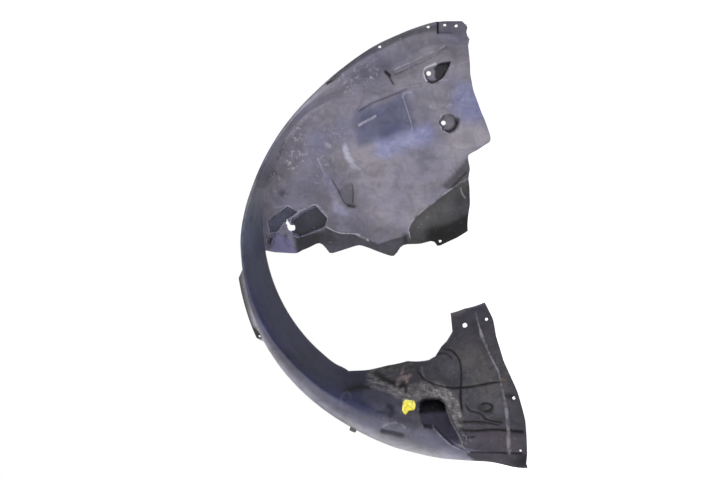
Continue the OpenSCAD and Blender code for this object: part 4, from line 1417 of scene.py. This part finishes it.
@dataclass(frozen=True)
class MouldedPlastic:
    """Black polypropylene with a satin skin. The mesh gives its broad colour, noise the rest."""

    dust: Colour = (0.44, 0.42, 0.41)
    film: Colour = (0.13, 0.12, 0.125)
    # Colour of edges lightened by wear and by painted highlight
    wear_and_highlight: Colour = (0.40, 0.39, 0.45)
    chip: Colour = (0.40, 0.395, 0.44)
    rust: Colour = (0.13, 0.095, 0.095)
    groove_shade: Colour = (0.006, 0.006, 0.007)
    cool: Colour = (0.97, 0.98, 1.06)
    warm: Colour = (1.02, 1.01, 0.97)
    roughness: float = 0.45
    specular: float = 0.2
    grain: float = 0.12
    grain_height: float = 0.0005

    def material(self) -> bpy.types.Material:
        """Builds the material."""
        g = Graph(bpy.data.materials.new("moulded_plastic"))
        skin, chipped = g.attribute("skin", "Color"), g.attribute("chips")
        cloud = g.noise(13.0, detail=5.0, roughness=0.6)
        mottle = g.noise(48.0, detail=5.0, roughness=0.62, distortion=0.8)
        streak = g.noise(26.0, detail=4.0, roughness=0.6, distortion=0.6, stretch=(1.0, 1.0, 0.35))
        shade = (0.62 + cloud.between(0.3, 0.7) * 0.26 + mottle.between(0.3, 0.7) * 0.32
                 + streak.between(0.3, 0.7) * 0.20)
        tint = g.mix(g.noise(11.0, roughness=0.6).between(0.38, 0.62), self.cool, self.warm)
        colour = g.node("ShaderNodeVectorMath", {"operation": "SCALE"}, {0: skin, "Scale": shade})
        colour = g.node("ShaderNodeVectorMath", {"operation": "MULTIPLY"}, {0: colour, 1: tint})

        fine = g.noise(420.0, roughness=0.7).between(0.48, 0.64)
        coarse = g.noise(120.0, detail=4.0, roughness=0.65).between(0.44, 0.62)
        gaps = 0.25 + g.noise(45.0).between(0.36, 0.56) * 0.8
        dust = (g.attribute("dust") * (0.16 + fine * 0.45 + coarse * 0.42) * gaps).clamped()
        flakes = g.noise(120.0, detail=5.0, roughness=0.72, distortion=0.5).between(0.52, 0.66)
        specks = g.noise(210.0, roughness=0.6).between(0.67, 0.76) * 0.5
        chips = (chipped * flakes).clamped()
        rust = (chipped * cloud.between(0.4, 0.6) * 0.14).clamped()
        film = g.noise(520.0, detail=2.0).between(0.58, 0.78) * 0.07
        lightening = 0.25 + g.noise(70.0, detail=4.0, roughness=0.65).between(0.36, 0.58) * 0.9
        # Light edges, partly wear and partly painted highlight, broken up by noise
        wear_and_highlight = (g.attribute("wear_and_highlight") * lightening).clamped()

        colour = g.mix(rust, colour, self.rust)
        colour = g.mix(film, colour, self.film)
        colour = g.mix(dust, colour, self.dust)
        # Painted shade, darkest at the bottom of each groove
        colour = g.mix(g.attribute("groove").clamped() * 0.9, colour, self.groove_shade)
        colour = g.mix(wear_and_highlight, colour, self.wear_and_highlight)
        colour = g.mix((chips + specks).clamped(), colour, self.chip)
        rough = (self.roughness + streak * 0.08 + dust * 0.25).clamped()
        height = g.noise(1100.0, detail=2.0) + g.noise(60.0) * 0.5
        bump = g.bump(self.grain, self.grain_height, height)
        return g.surface(Base_Color=colour, Roughness=rough, Normal=bump,
                         Specular_IOR_Level=self.specular)


@dataclass(frozen=True)
class TabPlastic:
    """The same plastic on the small tab, which is plain black."""

    base: Colour = (0.03, 0.03, 0.036)
    # Lighter patches laid by noise: on the tab they are wear alone
    wear_and_highlight: Colour = (0.08, 0.078, 0.09)
    roughness: float = 0.4

    def material(self) -> bpy.types.Material:
        """Builds the material."""
        g = Graph(bpy.data.materials.new("tab_plastic"))
        colour = g.mix(g.noise(120.0, detail=4.0).between(0.5, 0.8), self.base, self.wear_and_highlight)
        return g.surface(Base_Color=colour, Roughness=self.roughness + g.noise(60.0) * 0.15)


@dataclass(frozen=True)
class ClipPlastic:
    """Yellow nylon, slightly soiled."""

    base: Colour = (0.98, 0.93, 0.20)
    shade: Colour = (0.90, 0.76, 0.03)
    soiled: Colour = (0.42, 0.33, 0.03)
    roughness: float = 0.4
    grain: float = 0.2
    grain_height: float = 0.0003

    def material(self) -> bpy.types.Material:
        """Builds the material."""
        g = Graph(bpy.data.materials.new("clip_plastic"))
        dirt = g.noise(160.0, detail=4.0).between(0.52, 0.70)
        tone = g.mix(g.noise(75.0, roughness=0.6).between(0.40, 0.60), self.base, self.shade)
        colour = g.mix(dirt * 0.6, tone, self.soiled)
        bump = g.bump(self.grain, self.grain_height, g.noise(700.0))
        return g.surface(Base_Color=colour, Roughness=self.roughness + dirt * 0.2, Normal=bump)


class Side(Enum):
    """Directions in the photograph, as directions in the row's frame."""

    RIGHT = (0.0, 0.0, -1.0)
    UP = (1.0, 0.0, 0.0)
    NEAR = (0.0, -1.0, 0.0)

    @staticmethod
    def towards(right: float, up: float, near: float) -> Vector:
        """A direction given by its parts along the three sides."""
        parts = ((Side.RIGHT, right), (Side.UP, up), (Side.NEAR, near))
        return sum((Vector(side.value) * part for side, part in parts), Vector())


@dataclass(frozen=True)
class Lamp:
    """A soft square lamp, with its side by the photograph's right, up and near."""

    name: str
    side: tuple[float, float, float]
    watts: float
    size: float = 1.2


@dataclass(frozen=True)
class Studio:
    """The floor, the lights and the camera."""

    middle: tuple[float, float, float] = (-0.19, 0.0, 0.1)
    camera_at: tuple[float, float, float] = (-0.170, -2.1484, 0.089)
    yaw: float = -1.68
    pitch: float = -1.25
    focal_px: float = 1161.7
    photo_width: float = 722.0
    sensor: float = 36.0
    clip_end: float = 50.0
    # The floor's side, its gap under the object, its paint, and how strongly it glows for the
    # camera
    floor_size: float = 6.0
    floor_gap: float = 0.002
    floor_paint: Colour = (0.85, 0.85, 0.86)
    floor_glow: float = 0.86
    # Level of the surroundings' light, the lamps' distance, and the lamps
    ambient: float = 0.2
    lamp_distance: float = 2.4
    lamps: tuple[Lamp, ...] = (
        Lamp("key", (-0.3, -0.28, 0.9), 28, 1.3), Lamp("front", (0.0, 0.0, 1.0), 13),
        Lamp("top", (0.0, 0.7, 0.7), 12), Lamp("under", (-0.4, -0.9, -0.1), 30),
        Lamp("low", (0.0, -0.8, 0.6), 8), Lamp("right", (0.8, -0.5, 0.35), 12),
    )

    def camera(self) -> None:
        """Sets the camera at the photograph's place, with the photograph's up along the row's X."""
        yaw, pitch = math.radians(self.yaw), math.radians(self.pitch)
        level = math.cos(pitch)
        ahead = Side.towards(math.sin(yaw) * level, math.sin(pitch), -math.cos(yaw) * level)
        right = Side.towards(math.cos(yaw), 0.0, math.sin(yaw))
        up = right.cross(ahead)
        data = bpy.data.cameras.new("camera")
        data.sensor_width = self.sensor
        data.lens = self.focal_px * self.sensor / self.photo_width
        data.clip_end = self.clip_end
        camera = linked("camera", data)
        turn = Matrix((right, up, -ahead)).transposed().to_4x4()
        camera.matrix_world = Matrix.Translation(self.camera_at) @ turn
        bpy.context.scene.camera = camera

    def light(self, lamp: Lamp) -> None:
        """Adds a lamp that looks at the object."""
        data = bpy.data.lights.new(lamp.name, "AREA")
        data.size, data.energy = lamp.size, lamp.watts
        made = linked(lamp.name, data)
        side = Side.towards(*lamp.side).normalized()
        made.location = Vector(self.middle) + side * self.lamp_distance
        made.rotation_euler = side.to_track_quat("Z", "Y").to_euler()
        made.visible_camera = False

    def world(self) -> None:
        """White for the camera and behind clear things, and a plain level for everything else."""
        world = bpy.data.worlds.new("studio")
        g = Graph(world)
        camera = g.node("ShaderNodeLightPath", {}, {}, "Is Camera Ray")
        clear = g.node("ShaderNodeLightPath", {}, {}, "Is Transmission Ray")
        seen = g.node("ShaderNodeMath", {"operation": "MAXIMUM"}, {0: camera, 1: clear})
        strength = g.node("ShaderNodeMapRange", {}, {"Value": seen, "To Min": self.ambient})
        light = g.node("ShaderNodeBackground", {}, {"Color": (1.0, 1.0, 1.0), "Strength": strength})
        g.close(light, "ShaderNodeOutputWorld")
        bpy.context.scene.world = world

    def floor(self) -> None:
        """A pale floor just under the object, white to the camera except where a shadow falls."""
        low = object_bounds()[0][2] - self.floor_gap
        s = self.floor_size / 2
        x, y = self.middle[:2]
        turns = ((-1, -1), (1, -1), (1, 1), (-1, 1))
        corners = [(x + i * s, y + j * s, low) for i, j in turns]
        mesh = bpy.data.meshes.new("floor")
        mesh.from_pydata(corners, [], [(0, 1, 2, 3)])
        g = Graph(bpy.data.materials.new("floor_paint"))
        plain = g.node("ShaderNodeBsdfDiffuse", {}, {"Color": self.floor_paint})
        white = {"Color": (1.0, 1.0, 1.0), "Strength": self.floor_glow}
        glow = g.node("ShaderNodeEmission", {}, white)
        both = g.node("ShaderNodeAddShader", {}, {0: plain, 1: glow})
        seen = g.node("ShaderNodeLightPath", {}, {}, "Is Camera Ray")
        g.close(g.node("ShaderNodeMixShader", {}, {0: seen, 1: plain, 2: both}))
        mesh.materials.append(g.owner)
        linked("floor", mesh)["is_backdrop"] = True

    def build(self) -> None:
        """Sets up the whole stage."""
        self.camera()
        self.world()
        for lamp in self.lamps:
            self.light(lamp)
        self.floor()
        bpy.context.scene.view_settings.view_transform = "Standard"


def main() -> None:
    """Builds the sheet and its tab, dresses the clip and sets the stage."""
    logging.basicConfig(level=logging.INFO, format="%(name)s %(message)s")
    plastic = MouldedPlastic().material()
    liner = Liner()
    sheet = liner.build()
    sheet.data.materials.append(plastic)
    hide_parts("liner")
    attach(sheet, "root")
    tab = liner.short_tab()
    tab.data.materials.append(TabPlastic().material())
    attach(tab, "root")
    log.info("%s rides on the root", tab.name)
    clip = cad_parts["clip"]
    clip.data.materials.clear()
    clip.data.materials.append(ClipPlastic().material())
    log.info("clip keeps its CAD shape")
    Studio().build()


if __name__ == "__main__":
    main()
